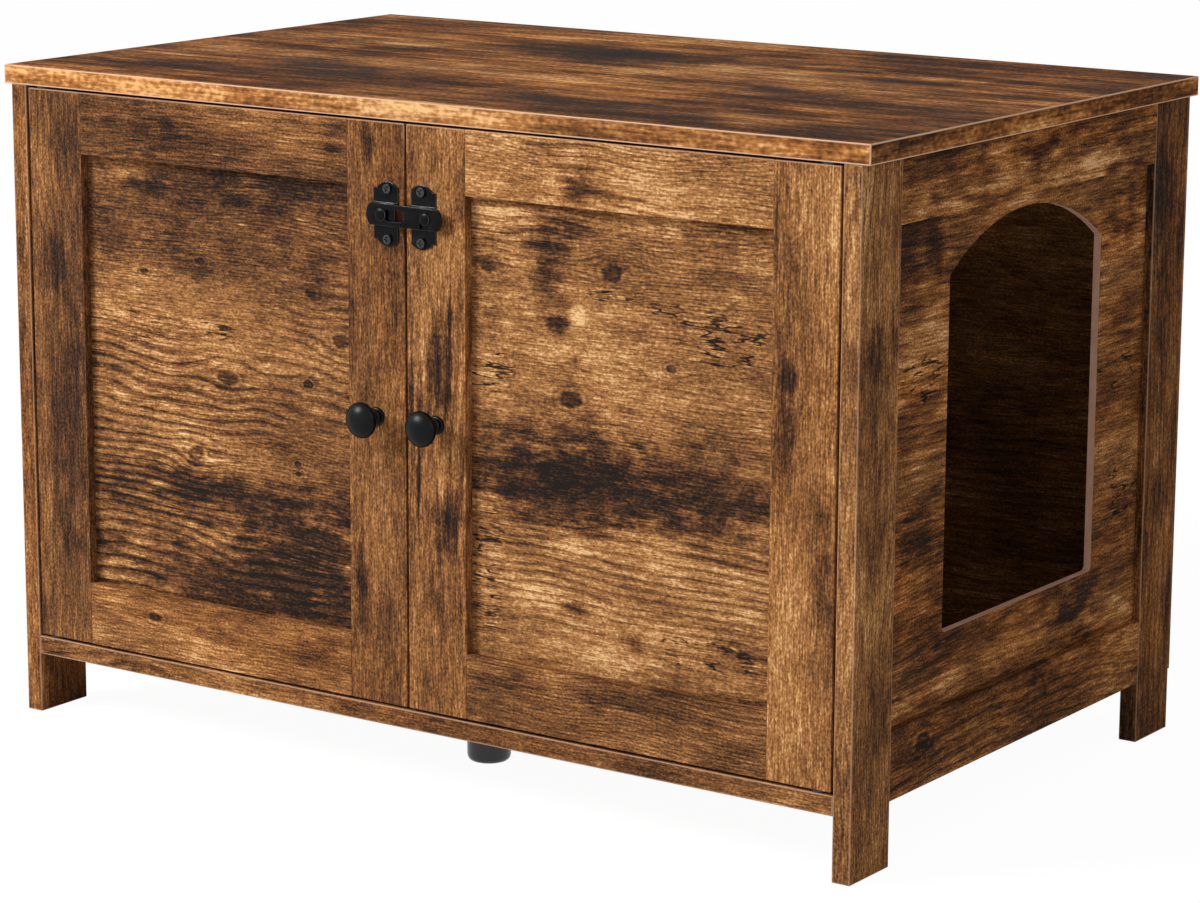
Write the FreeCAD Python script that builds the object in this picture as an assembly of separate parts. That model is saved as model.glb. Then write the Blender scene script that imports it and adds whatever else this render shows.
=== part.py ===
"""Cat litter box cabinet: a free-standing board cabinet with two inset doors and an arched cat entrance.

Millimetres, +X right, +Y to the back, +Z up. The floor is z = 0 and the origin lies under the middle of the
whole cabinet, knobs included. Names with left and right are as seen from the front.
"""
import FreeCAD
import Part
import math
import os

from FreeCAD import Vector

# ---------------------------------------------------------------- driving dimensions

# overall size of the top board and of the cabinet
overall_width = 800.0
overall_depth = 500.0
overall_height = 530.0
board_thickness = 15.0
edge_ease = 0.6
top_side_overhang = 6.5
top_front_overhang = 1.0

# side frames: board legs, rails and grooved panels
leg_width = 54.0
side_top_rail_height = 48.0
side_bottom_rail_height = 52.0
bottom_board_height = 49.0
side_panel_thickness = 6.0
side_panel_recess = 7.0
groove_depth = 8.0
groove_side_clearance = 0.15
groove_end_clearance = 1.0

# arched cat entrance in the right side panel
entrance_width = 232.0
entrance_crown_margin = 10.0
entrance_wall_height = 264.5
entrance_arch_rise = 37.0
entrance_offset_back = 4.0
entrance_corner_radius = 4.0

# thin back panel and its countersunk screws
back_panel_thickness = 3.0
back_panel_inset = 0.5
back_screw_length = 14.0
back_screw_radius = 1.4
back_screw_head_radius = 2.8
back_screw_head_height = 1.6
back_screw_rows = 3
back_screw_end_distance = 30.0
back_screw_board_count = 4
back_screw_from_board_end = 120.0

# centre foot
foot_top_radius = 18.0
foot_bottom_radius = 17.2
foot_chamfer = 1.5
foot_distance_from_front = 105.0
foot_screw_length = 42.0
foot_screw_radius = 2.0
foot_screw_head_radius = 4.0
foot_screw_head_height = 2.2

# knock-down fittings
dowel_radius = 4.0
dowel_length = 30.0
dowel_depth_in_thin_board = 10.0
dowel_edge_distance = 10.0
dowel_radial_clearance = 0.1
dowel_end_clearance = 1.0
cam_radius = 7.5
cam_depth = 12.5
cam_setback = 24.0
cam_slot_width = 1.6
cam_slot_depth = 2.5
cam_slot_half_length = 4.5
cam_channel_length = 11.25
cam_clearance = 0.1
bolt_radius = 3.0
bolt_thread_length = 11.0
bolt_neck_radius = 2.0
bolt_head_length = 3.0
bolt_edge_distance = 29.0
top_bolt_spacing = 220.0
bottom_dowel_edge_distance = 18.0
bottom_bolt_edge_distance = 31.0

# doors
door_setback = 0.5
door_side_gap = 2.5
door_middle_gap = 2.0
door_top_gap = 2.0
door_bottom_gap = 2.0
door_thickness = 15.0
stile_width = 54.0
door_top_rail_height = 49.0
door_bottom_rail_height = 50.5
door_panel_thickness = 5.0
door_panel_recess = 8.0
door_dowel_radius = 3.0
door_dowel_outer_distance = 12.0
door_dowel_spacing = 18.0

# hidden door pivots
pivot_from_edge = 12.0
pivot_from_face = 6.0
pin_radius = 2.5
pin_length_in_door = 20.0
pin_length_in_board = 9.0
pin_running_clearance = 0.05
bush_radius = 4.0
bush_depth = 10.0
bush_flange_radius = 6.0
pivot_seat_clearance = 0.3

# mushroom knobs
knob_projection = 27.0
knob_head_radius = 13.8
knob_head_height = 12.0
knob_dome_height = 6.0
knob_underside_bulge = 1.2
knob_neck_flare = 3.0
knob_neck_radius = 4.6
knob_base_radius = 6.2
knob_base_height = 2.5
knob_screw_radius = 2.0
knob_screw_thread = 14.0
knob_screw_head_radius = 4.0
knob_screw_head_height = 2.4

# magnetic catch and strike plates
catch_width = 40.0
catch_depth = 14.0
catch_height = 13.0
catch_gap = 0.3
magnet_width = 12.0
magnet_depth = 9.0
magnet_height = 9.0
magnet_spacing = 24.0
magnet_proud = 0.5
catch_screw_length = 20.0
catch_screw_spacing = 6.4
small_screw_radius = 1.5
small_screw_head_radius = 2.7
small_screw_head_height = 1.6
strike_width = 28.0
strike_height = 10.0
strike_thickness = 1.2
strike_from_middle = 5.0
strike_screw_from_end = 6.0
strike_screw_length = 10.0
strike_drop = 1.0

# bar latch across the two doors
latch_below_top = 85.5
latch_plate_from_middle = 6.3
latch_plate_width = 19.0
latch_plate_height = 48.5
latch_plate_end_rise = 4.0
latch_ear_width = 3.5
latch_ear_height = 38.5
latch_sheet = 1.2
latch_bridge_height = 17.0
latch_bridge_rise = 5.0
latch_screw_spacing = 38.2
latch_screw_length = 12.0
latch_screw_head_radius = 3.6
latch_screw_head_height = 2.0
latch_bar_length = 69.5
latch_bar_height = 16.0
latch_bar_thickness = 1.5
latch_bar_end_rise = 3.0
latch_bar_gap = 0.3
latch_rivet_from_middle = 18.3
latch_rivet_from_bar_end = 13.4
latch_rivet_radius = 2.0
latch_rivet_head_radius = 5.0
latch_rivet_head_height = 1.5
latch_stud_from_middle = 23.0
latch_stud_radius = 3.0
latch_stud_head_radius = 4.6
latch_stud_head_height = 1.3
latch_stud_tail_radius = 1.6
latch_stud_clearance = 0.4
latch_slot_length = 17.5
latch_slot_height = 9.0
latch_slot_from_rivet = 4.0
latch_slot_corner_radius = 2.7

# pilot holes are cut this much wider than the screw that they take
screw_clearance = 0.05

# a cutter runs this far past the face that it opens
cutter_overrun = 1.0

# shapes of screw, rivet and stud heads, as shares of the head's own height or radius
pan_rim_share = 0.45
pan_crown_share = 0.55
cross_slot_half_width_share = 0.14
cross_slot_reach_share = 0.5
cross_slot_depth_share = 0.5
rivet_rim_share = 0.4
rivet_crown_share = 0.6
rivet_tail_spread_share = 0.7
rivet_tail_length_share = 0.8

# ---------------------------------------------------------------- places worked out from them

knob_reach = knob_projection - top_front_overhang - door_setback
top_front_y = -overall_depth / 2 + knob_reach / 2
top_rear_y = top_front_y + overall_depth
frame_front_y = top_front_y + top_front_overhang
frame_rear_y = top_rear_y - back_panel_thickness
front_leg_rear_y = frame_front_y + leg_width
rear_leg_front_y = frame_rear_y - leg_width
side_middle_y = (front_leg_rear_y + rear_leg_front_y) / 2

leg_outer_x = overall_width / 2 - top_side_overhang
leg_inner_x = leg_outer_x - board_thickness
leg_middle_x = (leg_outer_x + leg_inner_x) / 2

top_underside_z = overall_height - board_thickness
bottom_board_top_z = bottom_board_height + board_thickness
bottom_board_middle_z = bottom_board_height + board_thickness / 2
side_rail_low_z = top_underside_z - side_top_rail_height
side_rail_high_z = bottom_board_height + side_bottom_rail_height
entrance_spring_z = side_rail_low_z - entrance_crown_margin - entrance_arch_rise
entrance_sill_z = entrance_spring_z - entrance_wall_height

door_front_y = frame_front_y + door_setback
door_back_y = door_front_y + door_thickness
door_low_z = bottom_board_top_z + door_bottom_gap
door_high_z = top_underside_z - door_top_gap
door_hinge_x = leg_inner_x - door_side_gap
door_latch_x = door_middle_gap / 2
door_middle_z = (door_low_z + door_high_z) / 2
hinge_stile_x = door_hinge_x - stile_width
latch_stile_x = door_latch_x + stile_width
door_rail_high_z = door_low_z + door_bottom_rail_height
door_rail_low_z = door_high_z - door_top_rail_height

pivot_x = door_hinge_x - pivot_from_edge
pivot_y = door_front_y + pivot_from_face
latch_middle_z = overall_height - latch_below_top
latch_bar_back_y = door_front_y - latch_bridge_rise - latch_bar_gap
latch_bar_front_y = latch_bar_back_y - latch_bar_thickness

LEFT = -1
RIGHT = 1
SIDE_NAMES = {LEFT: "left", RIGHT: "right"}

ALONG_X = Vector(1, 0, 0)
ALONG_Y = Vector(0, 1, 0)
ALONG_Z = Vector(0, 0, 1)


# ---------------------------------------------------------------- helpers

def span_box(x_span, y_span, z_span):
    """A box between two values on each axis, given in any order."""
    low = Vector(min(x_span), min(y_span), min(z_span))
    high = Vector(max(x_span), max(y_span), max(z_span))
    size = high - low
    return Part.makeBox(size.x, size.y, size.z, low)


def board(x_span, y_span, z_span):
    """A board with eased edges."""
    blank = span_box(x_span, y_span, z_span)
    return blank.makeFillet(edge_ease, blank.Edges)


def rod(radius, start, direction, length):
    """A round rod from start, along direction."""
    return Part.makeCylinder(radius, length, start, direction)


def mirrored(shape, side):
    """The shape as drawn for the right side, or its mirror image for the left side."""
    if side == RIGHT:
        return shape
    return shape.mirror(Vector(0, 0, 0), ALONG_X)


def cut_all(shape, cutters):
    """The shape less every cutter."""
    if not cutters:
        return shape
    return shape.cut(Part.makeCompound(cutters))


def revolved(profile, start, direction):
    """A solid of revolution. The profile is (radius, distance along direction) points, from axis to axis."""
    points = [Vector(radius, 0, distance) for radius, distance in profile]
    face = Part.Face(Part.makePolygon(points + points[:1]))
    solid = face.revolve(Vector(0, 0, 0), ALONG_Z, 360)
    turn = FreeCAD.Rotation(ALONG_Z, direction)
    solid.Placement = FreeCAD.Placement(start, turn)
    return solid


def countersunk_screw(start, direction, length, radius, head_radius, head_height):
    """A flat-head screw whose head lies flush at start and whose point lies along direction."""
    tip = radius
    profile = [(0, 0), (head_radius, 0), (radius, head_height), (radius, length - tip), (0, length)]
    return revolved(profile, start, direction)


def pan_head_screw(seat, direction, length, radius, head_radius, head_height):
    """A pan-head screw: the head stands out of the seat, the shank runs along direction."""
    rim = head_height * pan_rim_share
    crown = head_radius * pan_crown_share
    tip = radius
    profile = [(0, -head_height), (crown, -head_height), (head_radius, -rim), (head_radius, 0),
               (radius, 0), (radius, length - tip), (0, length)]
    screw = revolved(profile, seat, direction)
    slot_half = head_radius * cross_slot_half_width_share
    slot_reach = head_radius * cross_slot_reach_share
    slots = []
    for turned in (0, 90):
        slot = Part.makeBox(2 * slot_reach, 2 * slot_half, head_height * cross_slot_depth_share,
                            Vector(-slot_reach, -slot_half, -head_height))
        slot.rotate(Vector(0, 0, 0), ALONG_Z, turned)
        turn = FreeCAD.Rotation(ALONG_Z, direction)
        slot.Placement = FreeCAD.Placement(seat, turn).multiply(slot.Placement)
        slots.append(slot)
    return cut_all(screw, slots)


def save(name, *solids):
    """Write one node. Identical fasteners share a node as separate solids."""
    shape = solids[0] if len(solids) == 1 else Part.makeCompound(list(solids))
    shape.exportStep(os.path.join("parts", name + ".step"))


# ---------------------------------------------------------------- knock-down fittings

class Fittings:
    """Every dowel, cam bolt and cam lock, with the bores that they need in each board."""

    def __init__(self):
        self.dowels = []
        self.bolts = []
        self.cams = []
        self.bores = {}

    def bore(self, board_name, cutter):
        self.bores.setdefault(board_name, []).append(cutter)

    def dowel(self, seam, direction, first, first_depth, second):
        """A dowel across the seam: first_depth into the first board, the rest into the second, which lies
        along direction."""
        start = seam - direction * first_depth
        self.dowels.append(rod(dowel_radius, start, direction, dowel_length))
        hole_start = start - direction * dowel_end_clearance
        hole_length = dowel_length + 2 * dowel_end_clearance
        hole = rod(dowel_radius + dowel_radial_clearance, hole_start, direction, hole_length)
        self.bore(first, hole)
        self.bore(second, hole)

    def cam_joint(self, seam, direction, first, second, inward):
        """A bolt in the first board whose head is held by a cam in the second, which lies along direction.
        The cam is sunk into the face that inward points out of."""
        thread_start = seam - direction * bolt_thread_length
        cam_centre = seam + direction * cam_setback
        head_start = cam_centre - direction * (bolt_head_length / 2)
        neck_start = cam_centre - direction * cam_radius
        shank_length = (neck_start - thread_start).Length
        neck_length = (head_start - neck_start).Length
        shank = rod(bolt_radius, thread_start, direction, shank_length)
        neck = rod(bolt_neck_radius, neck_start, direction, neck_length)
        head = rod(bolt_radius, head_start, direction, bolt_head_length)
        self.bolts.append(shank.fuse([neck, head]))

        bore_length = bolt_thread_length + cam_setback
        bolt_bore = rod(bolt_radius + screw_clearance, thread_start, direction, bore_length)
        face_point = cam_centre + inward * (board_thickness / 2)
        cam_pocket = rod(cam_radius + cam_clearance, face_point, inward * -1, cam_depth + cam_clearance)
        self.bore(first, bolt_bore)
        self.bore(second, bolt_bore)
        self.bore(second, cam_pocket)

        cam = rod(cam_radius, face_point, inward * -1, cam_depth)
        channel_start = cam_centre - direction * cam_channel_length
        channel_length = cam_channel_length + bolt_head_length
        channel = rod(bolt_radius + cam_clearance, channel_start, direction, channel_length)
        across = direction.cross(inward)
        slots = []
        for along, sideways in ((direction, across), (across, direction)):
            corners = []
            for a, b in ((-1, -1), (1, -1), (1, 1), (-1, 1)):
                reach = along * (a * cam_slot_half_length)
                corners.append(face_point + reach + sideways * (b * cam_slot_width / 2))
            slot_face = Part.Face(Part.makePolygon(corners + corners[:1]))
            slots.append(slot_face.extrude(inward * -cam_slot_depth))
        self.cams.append(cut_all(cam, [channel] + slots))


def place_fittings():
    """Side frame seams, top board seams and bottom board seams, for both sides."""
    fittings = Fittings()
    for side in (LEFT, RIGHT):
        name = SIDE_NAMES[side]
        inward = Vector(-side, 0, 0)
        mid_x = side * leg_middle_x
        legs = ((name + "_front_leg", front_leg_rear_y, 1), (name + "_rear_leg", rear_leg_front_y, -1))
        rails = ((name + "_top_rail", top_underside_z, -1), (name + "_bottom_rail", bottom_board_height, 1))

        # rails between the legs: one dowel and one cam bolt at each end
        for leg, seam_y, y_sign in legs:
            for rail, edge_z, z_sign in rails:
                direction = Vector(0, y_sign, 0)
                dowel_seam = Vector(mid_x, seam_y, edge_z + z_sign * dowel_edge_distance)
                fittings.dowel(dowel_seam, direction, leg, dowel_length / 2, rail)
                bolt_seam = Vector(mid_x, seam_y, edge_z + z_sign * bolt_edge_distance)
                fittings.cam_joint(bolt_seam, direction, leg, rail, inward)

        # top board on the legs and on the top rail
        for leg, seam_y, y_sign in legs:
            seam = Vector(mid_x, seam_y - y_sign * leg_width / 2, top_underside_z)
            fittings.dowel(seam, ALONG_Z * -1, "top_board", dowel_depth_in_thin_board, leg)
        for offset in (-top_bolt_spacing / 2, top_bolt_spacing / 2):
            seam = Vector(mid_x, side_middle_y + offset, top_underside_z)
            fittings.cam_joint(seam, ALONG_Z * -1, "top_board", name + "_top_rail", inward)

        # bottom board between the legs
        for leg, seam_y, y_sign in legs:
            outer_y = seam_y - y_sign * leg_width
            dowel_y = outer_y + y_sign * bottom_dowel_edge_distance
            dowel_seam = Vector(side * leg_inner_x, dowel_y, bottom_board_middle_z)
            fittings.dowel(dowel_seam, inward, leg, dowel_depth_in_thin_board, "bottom_board")
            bolt_y = outer_y + y_sign * bottom_bolt_edge_distance
            bolt_seam = Vector(side * leg_inner_x, bolt_y, bottom_board_middle_z)
            fittings.cam_joint(bolt_seam, inward, leg, "bottom_board", ALONG_Z * -1)
    return fittings


# ---------------------------------------------------------------- side frames

def side_groove(grow):
    """The side panel's blank, in its grooves (right side). grow widens it into the groove's cutter."""
    outer_x = leg_outer_x - side_panel_recess
    end = groove_depth - groove_end_clearance + grow * groove_end_clearance
    x_span = (outer_x + grow * groove_side_clearance,
              outer_x - side_panel_thickness - grow * groove_side_clearance)
    y_span = (front_leg_rear_y - end, rear_leg_front_y + end)
    z_span = (side_rail_high_z - groove_depth, side_rail_low_z + end)
    return span_box(x_span, y_span, z_span)


def entrance_cutter():
    """The arched entrance: straight sides, rounded lower corners and a flat arch on top."""
    middle_y = side_middle_y + entrance_offset_back
    front_y = middle_y - entrance_width / 2
    rear_y = middle_y + entrance_width / 2
    sill_z = entrance_sill_z
    spring_z = entrance_spring_z
    x = leg_outer_x - side_panel_recess - side_panel_thickness - cutter_overrun
    corner = entrance_corner_radius
    inset = corner * (1 - math.sqrt(0.5))
    front_low = Vector(x, front_y, sill_z + corner)
    front_sill = Vector(x, front_y + corner, sill_z)
    rear_sill = Vector(x, rear_y - corner, sill_z)
    rear_low = Vector(x, rear_y, sill_z + corner)
    front_spring = Vector(x, front_y, spring_z)
    rear_spring = Vector(x, rear_y, spring_z)
    crown = Vector(x, middle_y, spring_z + entrance_arch_rise)
    edges = [
        Part.Arc(front_low, Vector(x, front_y + inset, sill_z + inset), front_sill).toShape(),
        Part.makeLine(front_sill, rear_sill),
        Part.Arc(rear_sill, Vector(x, rear_y - inset, sill_z + inset), rear_low).toShape(),
        Part.makeLine(rear_low, rear_spring),
        Part.Arc(rear_spring, crown, front_spring).toShape(),
        Part.makeLine(front_spring, front_low),
    ]
    return Part.Face(Part.Wire(edges)).extrude(Vector(side_panel_thickness + 2 * cutter_overrun, 0, 0))


def build_side_frames(fittings):
    x_span = (leg_inner_x, leg_outer_x)
    full_height = (0, top_underside_z)
    rail_y = (front_leg_rear_y, rear_leg_front_y)
    blanks = {
        "front_leg": board(x_span, (frame_front_y, front_leg_rear_y), full_height),
        "rear_leg": board(x_span, (rear_leg_front_y, frame_rear_y), full_height),
        "top_rail": board(x_span, rail_y, (side_rail_low_z, top_underside_z)),
        "bottom_rail": board(x_span, rail_y, (bottom_board_height, side_rail_high_z)),
    }
    groove = side_groove(1)
    panel = side_groove(0)
    for side in (LEFT, RIGHT):
        name = SIDE_NAMES[side]
        for piece, blank in blanks.items():
            node = name + "_" + piece
            shaped = mirrored(blank.cut(groove), side)
            save(node, cut_all(shaped, fittings.bores.get(node, [])))
        side_panel = panel.cut(entrance_cutter()) if side == RIGHT else panel
        save(name + "_side_panel", mirrored(side_panel, side))


# ---------------------------------------------------------------- top, bottom and back

def back_screw_places():
    """Screw points on the back panel's rear face: up both rear legs and along the bottom board."""
    places = []
    low_z = bottom_board_top_z + back_screw_end_distance
    high_z = top_underside_z - back_screw_end_distance
    for row in range(back_screw_rows):
        z = low_z + (high_z - low_z) * row / (back_screw_rows - 1)
        places.append((-leg_middle_x, z))
        places.append((leg_middle_x, z))
    reach = leg_inner_x - back_screw_from_board_end
    for column in range(back_screw_board_count):
        x = -reach + 2 * reach * column / (back_screw_board_count - 1)
        places.append((x, bottom_board_middle_z))
    return places


def back_screw(x, z, extra):
    return countersunk_screw(Vector(x, top_rear_y, z), ALONG_Y * -1, back_screw_length + extra,
                             back_screw_radius + extra, back_screw_head_radius + extra,
                             back_screw_head_height + extra)


def foot_screw(extra):
    start = Vector(0, top_front_y + foot_distance_from_front, bottom_board_top_z)
    return countersunk_screw(start, ALONG_Z * -1, foot_screw_length + extra, foot_screw_radius + extra,
                             foot_screw_head_radius + extra, foot_screw_head_height + extra)


def bush_and_hole(side, top):
    """A flanged pivot bush and the blind hole that it sits in."""
    gap = door_top_gap if top else door_bottom_gap
    flange = gap - pivot_seat_clearance
    face_z = top_underside_z if top else bottom_board_top_z
    into_board = ALONG_Z if top else ALONG_Z * -1
    seat = Vector(side * pivot_x, pivot_y, face_z)
    body = rod(bush_radius, seat, into_board, bush_depth)
    collar = rod(bush_flange_radius, seat, into_board * -1, flange)
    bore = rod(pin_radius + pin_running_clearance, seat - into_board * flange, into_board,
               bush_depth + flange)
    hole = rod(bush_radius + screw_clearance, seat, into_board, bush_depth + screw_clearance)
    return body.fuse(collar).cut(bore), hole


def build_carcass_boards(fittings):
    catch_holes = catch_screw_solids(screw_clearance)
    bushes = []
    holes = {True: [], False: []}
    for side in (LEFT, RIGHT):
        for top in (True, False):
            bush, hole = bush_and_hole(side, top)
            bushes.append(bush)
            holes[top].append(hole)
    save("door_pivot_bushes", *bushes)

    top = board((-overall_width / 2, overall_width / 2), (top_front_y, top_rear_y),
                (top_underside_z, overall_height))
    save("top_board", cut_all(top, fittings.bores["top_board"] + holes[True] + catch_holes))

    screw_holes = [back_screw(x, z, screw_clearance) for x, z in back_screw_places()]
    bottom = board((-leg_inner_x, leg_inner_x), (frame_front_y, frame_rear_y),
                   (bottom_board_height, bottom_board_top_z))
    bottom_cuts = fittings.bores["bottom_board"] + holes[False] + screw_holes + [foot_screw(screw_clearance)]
    save("bottom_board", cut_all(bottom, bottom_cuts))
    for side in (LEFT, RIGHT):
        fittings.bores[SIDE_NAMES[side] + "_rear_leg"].extend(screw_holes)

    panel_half = leg_outer_x - back_panel_inset
    panel = span_box((-panel_half, panel_half), (frame_rear_y, top_rear_y),
                     (bottom_board_height, top_underside_z))
    save("back_panel", cut_all(panel, screw_holes))
    save("back_panel_screws", *[back_screw(x, z, 0) for x, z in back_screw_places()])


def build_centre_foot():
    height = bottom_board_height
    profile = [(0, 0), (foot_bottom_radius - foot_chamfer, 0), (foot_bottom_radius, foot_chamfer),
               (foot_top_radius, height), (0, height)]
    foot = revolved(profile, Vector(0, top_front_y + foot_distance_from_front, 0), ALONG_Z)
    save("centre_foot", foot.cut(foot_screw(screw_clearance)))
    save("centre_foot_screw", foot_screw(0))


# ---------------------------------------------------------------- magnetic catch

def catch_screw_solids(extra):
    """The two screws that hold the catch under the top board. extra widens them into their pilot holes."""
    housing_front_y = door_back_y + strike_thickness + catch_gap + magnet_proud
    low_z = top_underside_z - catch_height
    solids = []
    for sign in (-1, 1):
        seat = Vector(0, housing_front_y + catch_depth / 2 + sign * catch_screw_spacing / 2, low_z)
        solids.append(pan_head_screw(seat, ALONG_Z, catch_screw_length + extra, small_screw_radius + extra,
                                     small_screw_head_radius, small_screw_head_height))
    return solids


def build_catch():
    pole_y = door_back_y + strike_thickness + catch_gap
    housing_front_y = pole_y + magnet_proud
    low_z = top_underside_z - catch_height
    housing = board((-catch_width / 2, catch_width / 2), (housing_front_y, housing_front_y + catch_depth),
                    (low_z, top_underside_z))
    magnet_z = (low_z + top_underside_z) / 2
    magnets = []
    pockets = []
    for sign in (-1, 1):
        middle_x = sign * magnet_spacing / 2
        x_span = (middle_x - magnet_width / 2, middle_x + magnet_width / 2)
        z_span = (magnet_z - magnet_height / 2, magnet_z + magnet_height / 2)
        magnet = span_box(x_span, (pole_y, pole_y + magnet_depth), z_span)
        magnets.append(magnet)
        pockets.append(magnet)
    save("magnetic_catch", cut_all(housing, pockets + catch_screw_solids(screw_clearance)))
    save("catch_magnets", *magnets)
    save("catch_screws", *catch_screw_solids(0))


def strike_screw(side, extra):
    x = side * (strike_from_middle + strike_width - strike_screw_from_end)
    z = door_high_z - strike_drop - strike_height / 2
    seat = Vector(x, door_back_y + strike_thickness, z)
    return pan_head_screw(seat, ALONG_Y * -1, strike_screw_length + extra, small_screw_radius + extra,
                          small_screw_head_radius, small_screw_head_height)


def build_strike(side):
    name = SIDE_NAMES[side] + "_strike_plate"
    x_span = (side * strike_from_middle, side * (strike_from_middle + strike_width))
    high_z = door_high_z - strike_drop
    plate = span_box(x_span, (door_back_y, door_back_y + strike_thickness), (high_z - strike_height, high_z))
    save(name, plate.cut(strike_screw(side, screw_clearance)))
    save(name + "_screw", strike_screw(side, 0))


# ---------------------------------------------------------------- doors

def door_groove(grow):
    """The door panel's blank, in its grooves (right door). grow widens it into the groove's cutter."""
    front_y = door_front_y + door_panel_recess
    end = groove_depth - groove_end_clearance + grow * groove_end_clearance
    x_span = (latch_stile_x - end, hinge_stile_x + end)
    y_span = (front_y - grow * groove_side_clearance,
              front_y + door_panel_thickness + grow * groove_side_clearance)
    z_span = (door_rail_high_z - groove_depth, door_rail_low_z + end)
    return span_box(x_span, y_span, z_span)


def door_dowel_solids(extra):
    """Two dowels at each corner of the right door. extra widens them into their bores."""
    solids = []
    mid_y = door_front_y + door_thickness / 2
    for seam_x in (latch_stile_x, hinge_stile_x):
        for edge_z, sign in ((door_low_z, 1), (door_high_z, -1)):
            for step in (0, 1):
                z = edge_z + sign * (door_dowel_outer_distance + step * door_dowel_spacing)
                start = Vector(seam_x - dowel_length / 2 - extra, mid_y, z)
                radius = door_dowel_radius + (dowel_radial_clearance if extra else 0)
                solids.append(rod(radius, start, ALONG_X, dowel_length + 2 * extra))
    return solids


def pivot_pin(face_z, into_board):
    """A pin pressed into the hinge stile's end and standing out of it into the board (right door)."""
    start = Vector(pivot_x, pivot_y, face_z) - into_board * pin_length_in_door
    gap = door_top_gap if into_board.z > 0 else door_bottom_gap
    return rod(pin_radius, start, into_board, pin_length_in_door + gap + pin_length_in_board)


def pin_bore(face_z, into_board):
    start = Vector(pivot_x, pivot_y, face_z) - into_board * pin_length_in_door
    return rod(pin_radius + screw_clearance, start, into_board, pin_length_in_door)


def knob_place(side):
    return Vector(side * (door_latch_x + stile_width / 2), door_front_y, door_middle_z)


def knob_screw(side, extra):
    """The machine screw through the latch stile, from the back, into the knob."""
    seat = knob_place(side) + Vector(0, door_thickness, 0)
    return pan_head_screw(seat, ALONG_Y * -1, door_thickness + knob_screw_thread + extra,
                          knob_screw_radius + extra, knob_screw_head_radius, knob_screw_head_height)


def build_knob(side):
    """A mushroom knob turned about its axis: small base, waisted neck, flared underside and a domed cap."""
    base = knob_place(side)
    neck_start = knob_base_height + knob_neck_flare
    neck_end = knob_projection - knob_head_height
    rim = knob_projection - knob_dome_height
    underside = Vector(knob_head_radius, 0, rim)
    flare_low = Vector(knob_neck_radius, 0, neck_end)
    flare_bulge = (underside + flare_low) * 0.5 + Vector(knob_underside_bulge, 0, -knob_underside_bulge)
    # the cap is part of a ball whose middle lies on the knob's axis
    ball_radius = (knob_head_radius ** 2 + knob_dome_height ** 2) / (2 * knob_dome_height)
    ball_z = knob_projection - ball_radius
    half_angle = math.asin(knob_head_radius / ball_radius) / 2
    cap_middle = Vector(ball_radius * math.sin(half_angle), 0, ball_z + ball_radius * math.cos(half_angle))
    points = [Vector(0, 0, 0), Vector(knob_base_radius, 0, 0), Vector(knob_base_radius, 0, knob_base_height),
              Vector(knob_neck_radius, 0, neck_start), flare_low]
    edges = [Part.makeLine(a, b) for a, b in zip(points, points[1:])]
    edges.append(Part.Arc(flare_low, flare_bulge, underside).toShape())
    edges.append(Part.Arc(underside, cap_middle, Vector(0, 0, knob_projection)).toShape())
    edges.append(Part.makeLine(Vector(0, 0, knob_projection), points[0]))
    knob = Part.Face(Part.Wire(edges)).revolve(Vector(0, 0, 0), ALONG_Z, 360)
    knob.Placement = FreeCAD.Placement(base, FreeCAD.Rotation(ALONG_Z, ALONG_Y * -1))
    name = SIDE_NAMES[side] + "_door_knob"
    save(name, knob.cut(knob_screw(side, screw_clearance)))
    save(name + "_screw", knob_screw(side, 0))


def build_door(side, latch_holes):
    name = SIDE_NAMES[side] + "_door_"
    y_span = (door_front_y, door_back_y)
    full = (door_low_z, door_high_z)
    rail_x = (latch_stile_x, hinge_stile_x)
    blanks = {
        "hinge_stile": board((hinge_stile_x, door_hinge_x), y_span, full),
        "latch_stile": board((door_latch_x, latch_stile_x), y_span, full),
        "top_rail": board(rail_x, y_span, (door_rail_low_z, door_high_z)),
        "bottom_rail": board(rail_x, y_span, (door_low_z, door_rail_high_z)),
    }
    shared = [door_groove(1)] + door_dowel_solids(dowel_end_clearance)
    pins = [pivot_pin(door_high_z, ALONG_Z), pivot_pin(door_low_z, ALONG_Z * -1)]
    pin_bores = [pin_bore(door_high_z, ALONG_Z), pin_bore(door_low_z, ALONG_Z * -1)]
    for piece, blank in blanks.items():
        shaped = cut_all(blank, shared + (pin_bores if piece == "hinge_stile" else []))
        shaped = mirrored(shaped, side)
        if piece == "latch_stile":
            own_holes = [knob_screw(side, screw_clearance), strike_screw(side, screw_clearance)]
            shaped = cut_all(shaped, own_holes + latch_holes)
        save(name + piece, shaped)
    save(name + "panel", mirrored(door_groove(0), side))
    save(name + "dowels", *[mirrored(dowel, side) for dowel in door_dowel_solids(0)])
    save(name + "pivot_pins", *[mirrored(pin, side) for pin in pins])


# ---------------------------------------------------------------- bar latch

def out_of_door(x, z, distance):
    """A point in front of the doors, at this distance from their face and height from the latch's middle."""
    return Vector(x, door_front_y - distance, latch_middle_z + z)


def latch_screws(side, extra):
    x = side * (latch_plate_from_middle + latch_plate_width / 2)
    solids = []
    for sign in (-1, 1):
        seat = out_of_door(x, sign * latch_screw_spacing / 2, latch_sheet)
        solids.append(pan_head_screw(seat, ALONG_Y, latch_screw_length + extra, small_screw_radius + extra,
                                     latch_screw_head_radius, latch_screw_head_height))
    return solids


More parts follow.
